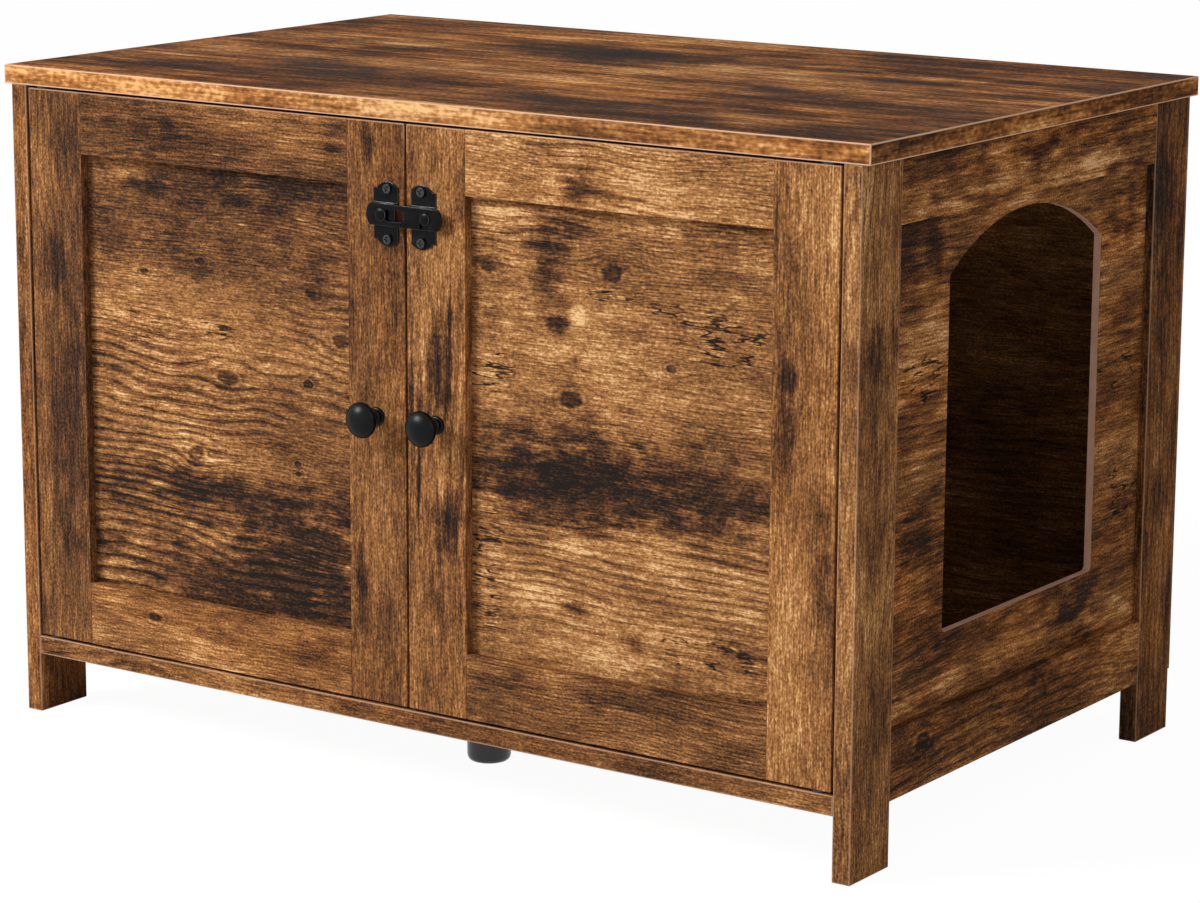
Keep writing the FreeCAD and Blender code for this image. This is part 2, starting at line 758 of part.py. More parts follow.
def latch_plate(side):
    """A stamped plate with round ends, a side ear and a raised bridge across its middle (right side)."""
    x0 = latch_plate_from_middle
    x1 = x0 + latch_plate_width
    half = latch_plate_height / 2
    shoulder = half - latch_plate_end_rise
    mid_x = (x0 + x1) / 2
    low_left = out_of_door(x0, -shoulder, 0)
    low_right = out_of_door(x1, -shoulder, 0)
    high_left = out_of_door(x0, shoulder, 0)
    high_right = out_of_door(x1, shoulder, 0)
    edges = [
        Part.Arc(low_left, out_of_door(mid_x, -half, 0), low_right).toShape(),
        Part.makeLine(low_right, high_right),
        Part.Arc(high_right, out_of_door(mid_x, half, 0), high_left).toShape(),
        Part.makeLine(high_left, low_left),
    ]
    sheet = Part.Face(Part.Wire(edges)).extrude(Vector(0, -latch_sheet, 0))
    x_end = x1 + latch_ear_width
    middle_z = latch_middle_z
    ear_z = (middle_z - latch_ear_height / 2, middle_z + latch_ear_height / 2)
    ear = span_box((x1 - latch_sheet, x_end), (door_front_y, door_front_y - latch_sheet), ear_z)
    bridge_half = latch_bridge_height / 2
    bridge = span_box((x0, x_end), (door_front_y, door_front_y - latch_bridge_rise),
                      (middle_z - bridge_half, middle_z + bridge_half))
    hollow_half = bridge_half - latch_sheet
    hollow = span_box((x0 - cutter_overrun, x_end + cutter_overrun),
                      (door_front_y + cutter_overrun, door_front_y - latch_bridge_rise + latch_sheet),
                      (middle_z - hollow_half, middle_z + hollow_half))
    plate = mirrored(sheet.fuse([ear, bridge]).cut(hollow).removeSplitter(), side)
    return cut_all(plate, latch_screws(side, screw_clearance))


def headed_pin(x, tail_radius, shank_radius, head_radius, head_height, gap):
    """A rivet or stud through a bridge: tail behind the sheet, shank through the bar, head in front."""
    bridge_back = latch_bridge_rise - latch_sheet
    bar_front = latch_bridge_rise + latch_bar_gap + latch_bar_thickness
    head_seat = bar_front + gap
    head_rim = head_seat + head_height * rivet_rim_share
    tail_head = tail_radius + latch_sheet * rivet_tail_spread_share
    tail_end = bridge_back - latch_sheet * rivet_tail_length_share
    profile = [(0, tail_end), (tail_head, tail_end),
               (tail_head, bridge_back), (tail_radius, bridge_back), (tail_radius, latch_bridge_rise),
               (shank_radius, latch_bridge_rise), (shank_radius, head_seat), (head_radius, head_seat),
               (head_radius, head_rim), (head_radius * rivet_crown_share, head_seat + head_height),
               (0, head_seat + head_height)]
    return revolved(profile, out_of_door(x, 0, 0), ALONG_Y * -1)


def latch_bar():
    """The slotted swinging bar, with a notch in its lower edge that drops over the stud."""
    rivet_x = -latch_rivet_from_middle
    x0 = rivet_x - latch_rivet_from_bar_end
    x1 = x0 + latch_bar_length
    half = latch_bar_height / 2
    rise = latch_bar_end_rise
    back = latch_bridge_rise + latch_bar_gap
    low_left = out_of_door(x0 + rise, -half, back)
    high_left = out_of_door(x0 + rise, half, back)
    low_right = out_of_door(x1 - rise, -half, back)
    high_right = out_of_door(x1 - rise, half, back)
    edges = [
        Part.makeLine(low_left, low_right),
        Part.Arc(low_right, out_of_door(x1, 0, back), high_right).toShape(),
        Part.makeLine(high_right, high_left),
        Part.Arc(high_left, out_of_door(x0, 0, back), low_left).toShape(),
    ]
    bar = Part.Face(Part.Wire(edges)).extrude(Vector(0, -latch_bar_thickness, 0))

    through_y = (latch_bar_back_y + cutter_overrun, latch_bar_front_y - cutter_overrun)
    through_length = latch_bar_thickness + 2 * cutter_overrun
    middle_z = latch_middle_z
    slot_x = rivet_x + latch_slot_from_rivet
    slot = span_box((slot_x, slot_x + latch_slot_length), through_y,
                    (middle_z - latch_slot_height / 2, middle_z + latch_slot_height / 2))
    corner_edges = [edge for edge in slot.Edges if not edge.Vertexes[0].Y == edge.Vertexes[1].Y]
    slot = slot.makeFillet(latch_slot_corner_radius, corner_edges)

    # while the bar lifts, the stud moves down an arc round the rivet, so the notch leans towards the rivet
    arm = latch_rivet_from_middle + latch_stud_from_middle
    notch_radius = latch_stud_radius + latch_stud_clearance
    drop = half + notch_radius
    lean = arm - math.sqrt(arm * arm - drop * drop)
    stud_x = latch_stud_from_middle
    crown = rod(notch_radius, out_of_door(stud_x, 0, back - cutter_overrun), ALONG_Y * -1, through_length)
    mouth = span_box((stud_x - notch_radius - lean, stud_x + notch_radius), through_y,
                     (middle_z, middle_z - half - cutter_overrun))
    pivot_hole = rod(latch_rivet_radius + pin_running_clearance,
                     out_of_door(rivet_x, 0, back - cutter_overrun), ALONG_Y * -1, through_length)
    return cut_all(bar, [slot, crown, mouth, pivot_hole])


def build_latch():
    """Base plate, rivet and bar on the left door, keeper plate and stud on the right door."""
    rivet = headed_pin(-latch_rivet_from_middle, latch_rivet_radius, latch_rivet_radius,
                       latch_rivet_head_radius, latch_rivet_head_height, latch_bar_gap)
    stud = headed_pin(latch_stud_from_middle, latch_stud_tail_radius, latch_stud_radius,
                      latch_stud_head_radius, latch_stud_head_height, latch_bar_gap)
    rivet_hole = rod(latch_rivet_radius + screw_clearance, out_of_door(-latch_rivet_from_middle, 0, 0),
                     ALONG_Y * -1, latch_bridge_rise)
    stud_hole = rod(latch_stud_tail_radius + screw_clearance, out_of_door(latch_stud_from_middle, 0, 0),
                    ALONG_Y * -1, latch_bridge_rise)
    save("latch_base_plate", latch_plate(LEFT).cut(rivet_hole))
    save("latch_keeper_plate", latch_plate(RIGHT).cut(stud_hole))
    save("latch_base_screws", *latch_screws(LEFT, 0))
    save("latch_keeper_screws", *latch_screws(RIGHT, 0))
    save("latch_rivet", rivet)
    save("latch_stud", stud)
    save("latch_bar", latch_bar())


# ---------------------------------------------------------------- the whole cabinet

def main():
    os.makedirs("parts", exist_ok=True)
    fittings = place_fittings()
    build_carcass_boards(fittings)
    build_side_frames(fittings)
    build_centre_foot()
    build_catch()
    for side in (LEFT, RIGHT):
        build_door(side, latch_screws(side, screw_clearance))
        build_knob(side)
        build_strike(side)
    build_latch()
    save("wood_dowels", *fittings.dowels)
    save("cam_bolts", *fittings.bolts)
    save("cam_locks", *fittings.cams)


main()
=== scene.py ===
"""Looks of the cat litter box cabinet: printed boards, knobs, latch, screws, centre foot and studio."""

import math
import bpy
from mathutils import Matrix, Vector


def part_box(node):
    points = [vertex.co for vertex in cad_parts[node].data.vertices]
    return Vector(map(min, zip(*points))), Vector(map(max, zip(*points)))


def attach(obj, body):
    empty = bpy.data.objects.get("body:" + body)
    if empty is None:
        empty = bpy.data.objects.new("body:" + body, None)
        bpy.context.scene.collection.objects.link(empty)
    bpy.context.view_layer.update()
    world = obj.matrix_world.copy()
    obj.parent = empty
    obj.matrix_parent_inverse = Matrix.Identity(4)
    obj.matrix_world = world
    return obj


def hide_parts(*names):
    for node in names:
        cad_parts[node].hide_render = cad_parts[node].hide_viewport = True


bl_info = {
    "name": "Cat litter box cabinet",
    "version": (1, 0, 0),
    "blender": (4, 5, 0),
    "location": "3D View > Sidebar > Cabinet",
    "description": "Wood print, black hardware and a plain studio for the cat litter box cabinet",
    "category": "Object",
}

from dataclasses import dataclass

import bmesh
import bpy
from bpy.props import FloatProperty, FloatVectorProperty, IntProperty, PointerProperty
from mathutils import Matrix, Vector

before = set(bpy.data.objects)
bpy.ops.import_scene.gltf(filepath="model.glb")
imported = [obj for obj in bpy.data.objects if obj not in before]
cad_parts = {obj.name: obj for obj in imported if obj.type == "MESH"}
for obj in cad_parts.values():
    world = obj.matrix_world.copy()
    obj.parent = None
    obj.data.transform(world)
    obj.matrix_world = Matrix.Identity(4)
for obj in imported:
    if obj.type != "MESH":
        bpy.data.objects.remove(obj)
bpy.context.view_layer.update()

MM = 0.001


def linear(red, green, blue):
    """A colour written as 0 to 255 screen values, as the shader wants it."""
    parts = []
    for value in (red, green, blue):
        share = value / 255
        parts.append(share / 12.92 if share <= 0.04045 else ((share + 0.055) / 1.055) ** 2.4)
    return tuple(parts)


# ---------------------------------------------------------------- what a user may change

COLOUR = {"subtype": "COLOR", "size": 3, "min": 0, "max": 1}


class WoodPrint(bpy.types.PropertyGroup):
    """Colours and grain of the printed boards."""

    charcoal: FloatVectorProperty(
        name="Charcoal", description="Colour of the burnt patches",
        default=linear(36, 31, 29), **COLOUR)
    umber: FloatVectorProperty(
        name="Umber", description="Colour of the dark grain",
        default=linear(76, 51, 36), **COLOUR)
    brown: FloatVectorProperty(
        name="Brown", description="Main colour of the print",
        default=linear(119, 80, 49), **COLOUR)
    amber: FloatVectorProperty(
        name="Amber", description="Colour of the light wood",
        default=linear(168, 118, 71), **COLOUR)
    straw: FloatVectorProperty(
        name="Straw", description="Colour of the brightest streaks",
        default=linear(223, 183, 131), **COLOUR)
    russet: FloatVectorProperty(
        name="Russet", description="Tint that warms the stiles and legs",
        default=(1.0, 0.80, 0.60), **COLOUR)
    cut_edge: FloatVectorProperty(
        name="Cut edge", description="Colour of the entrance's cut edge",
        default=linear(218, 172, 150), **COLOUR)
    # painted highlight: the edge colour stands for wear and for the light that the eased edges catch
    worn_edge_and_highlight: FloatVectorProperty(
        name="Worn edge", description="Colour of the rubbed board edges",
        default=linear(214, 172, 140), **COLOUR)
    ring_pitch: FloatProperty(
        name="Ring pitch", description="Distance between two grain lines", unit="LENGTH",
        min=0.001, max=0.02, default=3.1 * MM)
    # width of the strip of wear and painted highlight along an edge
    wear_and_highlight_width: FloatProperty(
        name="Wear width", description="Width of the rubbed strip along an edge", unit="LENGTH",
        min=0.0001, max=0.01, default=1.3 * MM)


class BlackHardware(bpy.types.PropertyGroup):
    """Finish of the knobs, latch and latch screws, the rounding of the latch edges and the turn of the screws.
    """

    knob_black: FloatVectorProperty(
        name="Knob black", description="Colour of the knobs",
        default=linear(9, 9, 10), **COLOUR)
    latch_black: FloatVectorProperty(
        name="Latch black", description="Colour of the latch",
        default=linear(8, 8, 9), **COLOUR)
    screw_black: FloatVectorProperty(
        name="Screw black", description="Colour of the blackened latch screws",
        default=linear(16, 16, 17), **COLOUR)
    edge_round: FloatProperty(
        name="Edge round", description="Rounding of the stamped latch edges", unit="LENGTH",
        min=0.00005, max=0.002, default=0.4 * MM)
    screw_seed: IntProperty(
        name="Screw seed", description="Seed of the angles at which the screws stopped", default=7)


class Studio(bpy.types.PropertyGroup):
    """Camera and light of the stage."""

    lens: FloatProperty(
        name="Lens", description="Focal length of the camera", unit="CAMERA", min=20, max=300, default=115.65)
    key_power: FloatProperty(
        name="Key power", description="Power of the large lamp at the front left", unit="POWER",
        min=0, max=2000, default=128.0)
    fill_power: FloatProperty(
        name="Fill power", description="Power of the lamp at the right", unit="POWER",
        min=0, max=2000, default=8.0)
    sky: FloatProperty(
        name="Sky", description="Strength of the even light all round", min=0, max=3, default=0.43)


# ---------------------------------------------------------------- node trees

class Wire:
    """A socket in a node tree. Sums and products of numbers add Math nodes."""

    def __init__(self, tree, socket):
        self.tree = tree
        self.socket = socket

    def math(self, operation, *values):
        return self.tree.add("ShaderNodeMath", {"operation": operation}, dict(enumerate(values)))

    def __add__(self, other):
        return self.math("ADD", self, other)

    def __sub__(self, other):
        return self.math("SUBTRACT", self, other)

    def __rsub__(self, other):
        return self.math("SUBTRACT", other, self)

    def __mul__(self, other):
        return self.math("MULTIPLY", self, other)

    def __truediv__(self, other):
        return self.math("DIVIDE", self, other)

    __radd__ = __add__

    def lesser(self, other):
        return self.math("MINIMUM", self, other)

    def greater(self, other):
        return self.math("MAXIMUM", self, other)

    def sine(self):
        return self.math("SINE", self)

    def size(self):
        return self.math("ABSOLUTE", self)

    def fade(self, start, end, full=1.0):
        """0 at start, full at end, smooth between."""
        return self.tree.add(
            "ShaderNodeMapRange", {"interpolation_type": "SMOOTHSTEP"},
            {"Value": self, "From Min": start, "From Max": end, "To Min": 0.0, "To Max": full})


class Tree:
    """A node tree that is written one node at a time."""

    def __init__(self, graph):
        self.graph = graph

    def add(self, kind, settings=None, inputs=None, output=0):
        """One node: its settings first, then the values or links of its sockets."""
        node = self.graph.nodes.new(kind)
        for key, value in (settings or {}).items():
            if key == "stops":
                stops = node.color_ramp.elements
                for number, (position, colour) in enumerate(value):
                    stop = stops[number] if number < len(stops) else stops.new(position)
                    stop.position = position
                    stop.color = (*colour, 1.0)
            else:
                setattr(node, key, value)
        for key, value in (inputs or {}).items():
            socket = node.inputs[key]
            if isinstance(value, Wire):
                self.graph.links.new(value.socket, socket)
            else:
                wants_alpha = socket.type == "RGBA" and len(value) == 3
                socket.default_value = (*value, 1.0) if wants_alpha else value
        return Wire(self, node.outputs[output]) if len(node.outputs) else None

    def parts(self, vector):
        split = self.add("ShaderNodeSeparateXYZ", inputs={0: vector})
        return [Wire(self, socket) for socket in split.socket.node.outputs]

    def vector(self, x=0.0, y=0.0, z=0.0):
        return self.add("ShaderNodeCombineXYZ", inputs={0: x, 1: y, 2: z})


class Paint(Tree):
    """The shader tree of one material or of the sky."""

    def __init__(self, owner):
        self.owner = owner
        owner.use_nodes = True
        super().__init__(owner.node_tree)
        self.graph.nodes.clear()

    @classmethod
    def fresh(cls, name):
        return cls(bpy.data.materials.new(name))

    def place(self):
        return self.add("ShaderNodeTexCoord", output="Object")

    def facing(self):
        """The size of the surface's own normal on each axis."""
        normal = self.add("ShaderNodeTexCoord", output="Normal")
        return [axis.size() for axis in self.parts(normal)]

    def scaled(self, vector, factors, offset=(0, 0, 0)):
        return self.add("ShaderNodeVectorMath", {"operation": "MULTIPLY_ADD"},
                        {0: vector, 1: factors, 2: offset})

    def length(self, vector):
        return self.add("ShaderNodeVectorMath", {"operation": "LENGTH"}, {0: vector}, "Value")

    def noise(self, vector, detail=2.0, roughness=0.5, scale=1.0):
        """Soft noise about 0, from about -1 to 1."""
        raw = self.add("ShaderNodeTexNoise", None,
                       {"Vector": vector, "Scale": scale, "Detail": detail, "Roughness": roughness})
        return raw.math("MULTIPLY_ADD", raw, 4.0, -2.0)

    def ramp(self, value, stops):
        return self.add("ShaderNodeValToRGB", {"stops": stops}, {0: value})

    def mix(self, factor, first, second, how="MIX"):
        return self.add("ShaderNodeMix", {"data_type": "RGBA", "blend_type": how},
                        {0: factor, 6: first, 7: second}, 2)

    def blend(self, factor, first, second):
        """A number between two others."""
        return self.add("ShaderNodeMix", {"data_type": "FLOAT"}, {0: factor, 2: first, 3: second})

    def bump(self, height, distance, strength):
        return self.add("ShaderNodeBump", None, {"Height": height, "Distance": distance, "Strength": strength})

    def finish(self, **sockets):
        """The surface shader. Underscores in the names stand for spaces."""
        named = {key.replace("_", " "): value for key, value in sockets.items()}
        surface = self.add("ShaderNodeBsdfPrincipled", None, named)
        self.add("ShaderNodeOutputMaterial", None, {"Surface": surface})
        return self.owner


# ---------------------------------------------------------------- wood print

X, Y, Z = 0, 1, 2


@dataclass
class Board:
    """How one board is printed. Places are along and across the grain, in mm of the frame."""

    grain: int  # axis along the grain
    across: int  # axis across it, in the face
    tone: float = 0.5  # 0 is charcoal, 1 is straw
    warmth: float = 0.3
    seed: float = 0.0
    figure: float = 1.0  # contrast of the clouds and streaks
    spread: float = 1.0  # size of the pattern
    rings: float = 1.0
    burnt: float = 1.0
    # strength of the edge wear and its painted highlight
    wear_and_highlight: float = 0.3
    marks: tuple = ()  # (along, across, half length, half width, lift), where a negative lift darkens
    knots: tuple = ()  # (along, across, radius)
    cracks: tuple = ()  # (along, across, half length, half width) of an area with worm cracks

    @property
    def third(self):
        """The axis through the board's thickness."""
        return X + Y + Z - self.grain - self.across


BOARDS = {
    "top_board": Board(
        X, Y, tone=0.42, warmth=0.95, seed=1.3, figure=2.3, spread=2.1, rings=0.4, burnt=1.0, wear_and_highlight=1.0,
        marks=((-300, 0, 80, 22, -0.36), (-230, 45, 65, 20, -0.4), (-60, 118, 100, 30, -0.44),
               (-37, -119, 65, 16, -0.44), (103, -8, 85, 20, -0.48), (116, 130, 70, 22, -0.46),
               (250, 150, 80, 28, -0.36), (-300, -168, 70, 14, -0.36), (282, -127, 46, 12, -0.32),
               (-39, 170, 60, 16, 0.5), (265, -194, 24, 9, 0.4), (-160, -60, 140, 26, 0.24),
               (180, 60, 110, 24, 0.2), (60, -180, 120, 20, 0.16), (0, -238, 700, 7, 0.34))),
    "bottom_board": Board(X, Z, tone=0.45, warmth=0.45, seed=2.1, rings=0.8, burnt=0.7, wear_and_highlight=0.5),
    "back_panel": Board(X, Z, tone=0.53, warmth=0.4, seed=3.7, rings=0.5, burnt=0.6, wear_and_highlight=0.0),
    "left_front_leg": Board(Z, Y, tone=0.46, warmth=0.7, seed=4.2, burnt=0.5, wear_and_highlight=0.35),
    "left_rear_leg": Board(Z, Y, tone=0.46, warmth=0.6, seed=5.6, burnt=0.7, wear_and_highlight=0.35),
    "right_front_leg": Board(
        Z, Y, tone=0.54, warmth=0.1, seed=6.9, figure=1.0, rings=0.7, burnt=0.5, wear_and_highlight=0.35,
        marks=((385, -212, 30, 9, -0.26), (300, -206, 18, 8, -0.2), (239, -209, 24, 12, -0.24),
               (150, -214, 30, 6, -0.18))),
    "right_rear_leg": Board(
        Z, Y, tone=0.41, warmth=0.7, seed=8.4, figure=1.2, rings=0.5, burnt=0.6, wear_and_highlight=0.35,
        marks=((430, 217, 46, 14, -0.42), (325, 228, 34, 7, -0.26), (210, 226, 20, 8, -0.2),
               (162, 212, 26, 7, -0.32))),
    "left_top_rail": Board(Y, Z, tone=0.48, warmth=0.4, seed=9.1, wear_and_highlight=0.0),
    "right_top_rail": Board(
        Y, Z, tone=0.43, warmth=0.9, seed=10.7, figure=2.2, rings=0.5, burnt=0.8, wear_and_highlight=0.0,
        marks=((-138, 481, 11, 7, -0.4), (28, 497, 28, 8, -0.28), (150, 470, 30, 9, -0.24))),
    "left_bottom_rail": Board(Y, Z, tone=0.48, warmth=0.4, seed=11.2, wear_and_highlight=0.0),
    "right_bottom_rail": Board(
        Y, Z, tone=0.47, warmth=0.8, seed=12.9, figure=1.5, rings=0.7, burnt=0.8, wear_and_highlight=0.0,
        marks=((35, 96, 20, 16, -0.3), (-32, 86, 26, 12, -0.22)), knots=((-138, 84, 9),)),
    "left_side_panel": Board(Y, Z, tone=0.47, warmth=0.2, seed=13.4, wear_and_highlight=0.0),
    "right_side_panel": Board(
        Y, Z, tone=0.45, warmth=0.9, seed=14.8, figure=1.8, rings=0.6, burnt=0.8, wear_and_highlight=0.0,
        marks=((-122, 446, 12, 22, -0.4), (-135, 238, 34, 24, -0.32), (165, 428, 26, 18, -0.35),
               (87, 130, 15, 9, -0.42), (118, 132, 20, 22, -0.3), (-76, 120, 44, 14, 0.2),
               (-140, 300, 20, 26, 0.16), (160, 380, 22, 24, 0.14), (-130, 395, 20, 16, 0.14),
               (150, 150, 30, 20, 0.1)),
        cracks=((-138, 350, 32, 18), (165, 310, 32, 16), (180, 215, 22, 30))),
    "left_door_hinge_stile": Board(
        Z, X, tone=0.41, warmth=0.15, seed=15.5, figure=0.8, rings=0.4, burnt=0.3, wear_and_highlight=0.45,
        marks=((478, -335, 34, 16, -0.26), (375, -355, 24, 13, -0.3), (270, -345, 70, 20, -0.2),
               (440, -365, 40, 8, 0.14), (160, -345, 30, 14, -0.16))),
    "left_door_latch_stile": Board(
        Z, X, tone=0.46, warmth=0.45, seed=16.3, figure=0.9, rings=0.3, burnt=0.2, wear_and_highlight=0.45,
        marks=((160, -44, 48, 4, -0.42), (497, -36, 14, 6, -0.3), (300, -30, 40, 16, 0.06),
               (420, -40, 20, 14, 0.05))),
    "left_door_top_rail": Board(
        X, Z, tone=0.375, warmth=0.2, seed=17.1, figure=0.9, rings=0.9, burnt=0.2, wear_and_highlight=0.45,
        marks=((-270, 488, 52, 24, -0.24), (-233, 497, 11, 18, -0.2), (-104, 488, 50, 16, 0.14),
               (-164, 477, 16, 6, -0.22), (-108, 475, 14, 5, -0.32), (-68, 489, 10, 4, -0.4))),
    "left_door_bottom_rail": Board(
        X, Z, tone=0.53, warmth=0.45, seed=18.6, figure=1.1, burnt=0.3, wear_and_highlight=0.45,
        marks=((-180, 92, 26, 12, -0.16), (-84, 90, 20, 18, -0.12)), knots=((-254, 98, 6),)),
    "left_door_panel": Board(
        X, Z, tone=0.48, warmth=0.12, seed=19.2, figure=0.9, rings=1.3, burnt=0.25, wear_and_highlight=0.0,
        marks=((-190, 440, 170, 60, -0.26), (-265, 445, 24, 6, -0.5), (-287, 452, 12, 4, 0.3),
               (-181, 457, 20, 5, -0.42), (-170, 440, 14, 5, -0.36), (-105, 456, 46, 8, -0.24),
               (-200, 205, 150, 16, -0.46), (-253, 206, 15, 4, 0.62), (-105, 158, 70, 50, -0.4),
               (-190, 140, 190, 60, -0.4), (-205, 340, 26, 5, 0.3), (-300, 345, 18, 9, 0.14)),
        knots=((-182, 300, 8), (-265, 376, 4), (-208, 389, 4), (-98, 375, 5), (-68, 341, 7),
               (-101, 304, 4), (-215, 236, 7), (-112, 240, 3), (-112, 232, 3)),
        cracks=((-205, 336, 36, 9), (-270, 330, 30, 12))),
    "right_door_hinge_stile": Board(
        Z, X, tone=0.57, warmth=0.35, seed=20.9, figure=0.9, rings=0.25, burnt=0.25, wear_and_highlight=0.45,
        marks=((358, 337, 16, 6, -0.42), (318, 334, 34, 6, -0.45), (228, 366, 40, 7, -0.3),
               (440, 352, 30, 10, 0.08), (200, 340, 60, 9, 0.12))),
    "right_door_latch_stile": Board(
        Z, X, tone=0.48, warmth=0.3, seed=21.4, figure=1.0, rings=0.7, burnt=0.25, wear_and_highlight=0.45,
        marks=((338, 31, 30, 12, -0.62), (216, 40, 26, 11, -0.5), (150, 22, 40, 12, -0.18),
               (325, 5, 44, 2, -0.7), (250, 11, 46, 2, -0.7), (366, 41, 48, 1.8, -0.6),
               (440, 20, 40, 10, 0.08), (455, 48, 24, 8, -0.16))),
    "right_door_top_rail": Board(
        X, Z, tone=0.66, warmth=0.35, seed=22.8, figure=0.8, rings=1.2, burnt=0.1, wear_and_highlight=0.45,
        marks=((158, 480, 20, 16, -0.5), (185, 474, 26, 8, -0.3), (120, 506, 18, 5, -0.2),
               (250, 478, 60, 10, 0.1))),
    "right_door_bottom_rail": Board(
        X, Z, tone=0.53, warmth=0.3, seed=23.5, figure=1.0, rings=1.2, burnt=0.3, wear_and_highlight=0.45,
        marks=((92, 98, 30, 12, -0.24), (165, 100, 44, 8, -0.16), (245, 84, 40, 10, 0.1),
               (225, 104, 30, 6, -0.18))),
    "right_door_panel": Board(
        X, Z, tone=0.58, warmth=0.1, seed=24.3, rings=1.0, burnt=0.25, wear_and_highlight=0.0,
        marks=((123, 418, 18, 38, -0.5), (146, 448, 24, 10, -0.3), (134, 376, 11, 5, -0.5),
               (152, 383, 8, 7, 0.6), (149, 350, 7, 4, -0.45), (162, 313, 10, 5, -0.3),
               (140, 258, 78, 42, -0.55), (245, 268, 104, 30, -0.5), (292, 256, 44, 12, -0.3),
               (92, 246, 34, 12, -0.35), (143, 212, 24, 10, 0.3), (149, 164, 13, 5, -0.55),
               (202, 145, 18, 9, -0.3), (295, 118, 32, 8, -0.3), (280, 460, 40, 14, -0.3),
               (286, 426, 26, 10, -0.22), (84, 452, 30, 10, 0.28), (132, 170, 54, 34, 0.12),
               (298, 182, 16, 8, 0.26), (272, 222, 44, 24, -0.14)),
        knots=((182, 418, 8), (70, 412, 7), (145, 321, 8), (232, 354, 4), (131, 264, 14)),
        cracks=((182, 400, 22, 6), (236, 394, 22, 10), (284, 378, 42, 22), (71, 338, 24, 20),
                (70, 190, 14, 60), (262, 147, 44, 12))),
}


def wear_and_highlight_box(node):
    """The box whose edges get wear and a painted highlight: a door's boards share the door's own, and another
    board has its own.
    """
    door = node.split("_door_")[0] + "_door_"
    boxes = [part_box(name) for name in BOARDS if name == node or name.startswith(door)]
    low = [min(box[0][axis] for box in boxes) for axis in (X, Y, Z)]
    high = [max(box[1][axis] for box in boxes) for axis in (X, Y, Z)]
    return low, high


# noise of the print: cycles per metre along and across the grain, step of the seed, detail, roughness
LAYERS = {
    "drift": (2.2, 6.0, 0.0, 1.0, 0.5),
    "clouds": (7.0, 18.0, 3.1, 4.0, 0.6),
    "mottle": (42.0, 60.0, 8.3, 4.0, 0.65),
    "patches": (7.0, 11.0, 7.7, 5.0, 0.62),
    "streaks": (16.0, 150.0, 4.4, 3.0, 0.65),
    "fibres": (60.0, 780.0, 1.9, 2.0, 0.6),
    "specks": (420.0, 640.0, 5.3, 1.0, 0.5),
    "flecks": (55.0, 430.0, 17.3, 1.0, 0.5),
    "pits": (90.0, 240.0, 13.1, 1.0, 0.5),
    "bend": (3.6, 5.5, 0.7, 2.0, 0.5),
    "fine_rings": (3.5, 9.0, 9.2, 3.0, 0.5),
    "bold_rings": (3.0, 6.0, 15.2, 2.0, 0.5),
    "winding": (26.0, 150.0, 6.6, 2.0, 0.6),
    "pieces": (55.0, 80.0, 2.7, 1.0, 0.5),
    "warmth": (5.0, 24.0, 12.5, 3.0, 0.5),
}
# how far each part of the pattern moves the tone, from charcoal at 0 to straw at 1
MOVES = {"clouds": 0.20, "mottle": 0.08, "streaks": 0.12, "drift": 0.07, "burnt": 0.36, "mark": 0.85,
         "fibres": 0.20, "specks": 0.17, "rings": 0.22, "pale_wood": 0.08, "flecks": 0.22,
         "cracks": 0.5, "splinters": 0.14, "pits": 0.25}
# the broad tone bends towards these lines, slope and rise, so that no patch is flat black or white
DARK_LIMIT = (0.3, 0.10)
LIGHT_LIMIT = (0.4, 0.50)
TONE_STOPS = (("charcoal", 0.02), ("umber", 0.24), ("brown", 0.46), ("amber", 0.68), ("straw", 0.94))
BOLD_PER_FINE = 0.37  # bold rings for each fine one
KNOT_STRETCH = 1.6  # a knot's length over its width
KNOT_RINGS = 9.0
# painted highlight on the doors' upper edges, which catch the light from above
DOOR_HIGHLIGHT_DEPTH = 30 * MM  # a door's edges are worn and carry a painted highlight, as lit from above, down to here below its top
DOOR_HIGHLIGHT_FULL = 2 * MM
GRAIN_DEPTH = 0.12 * MM


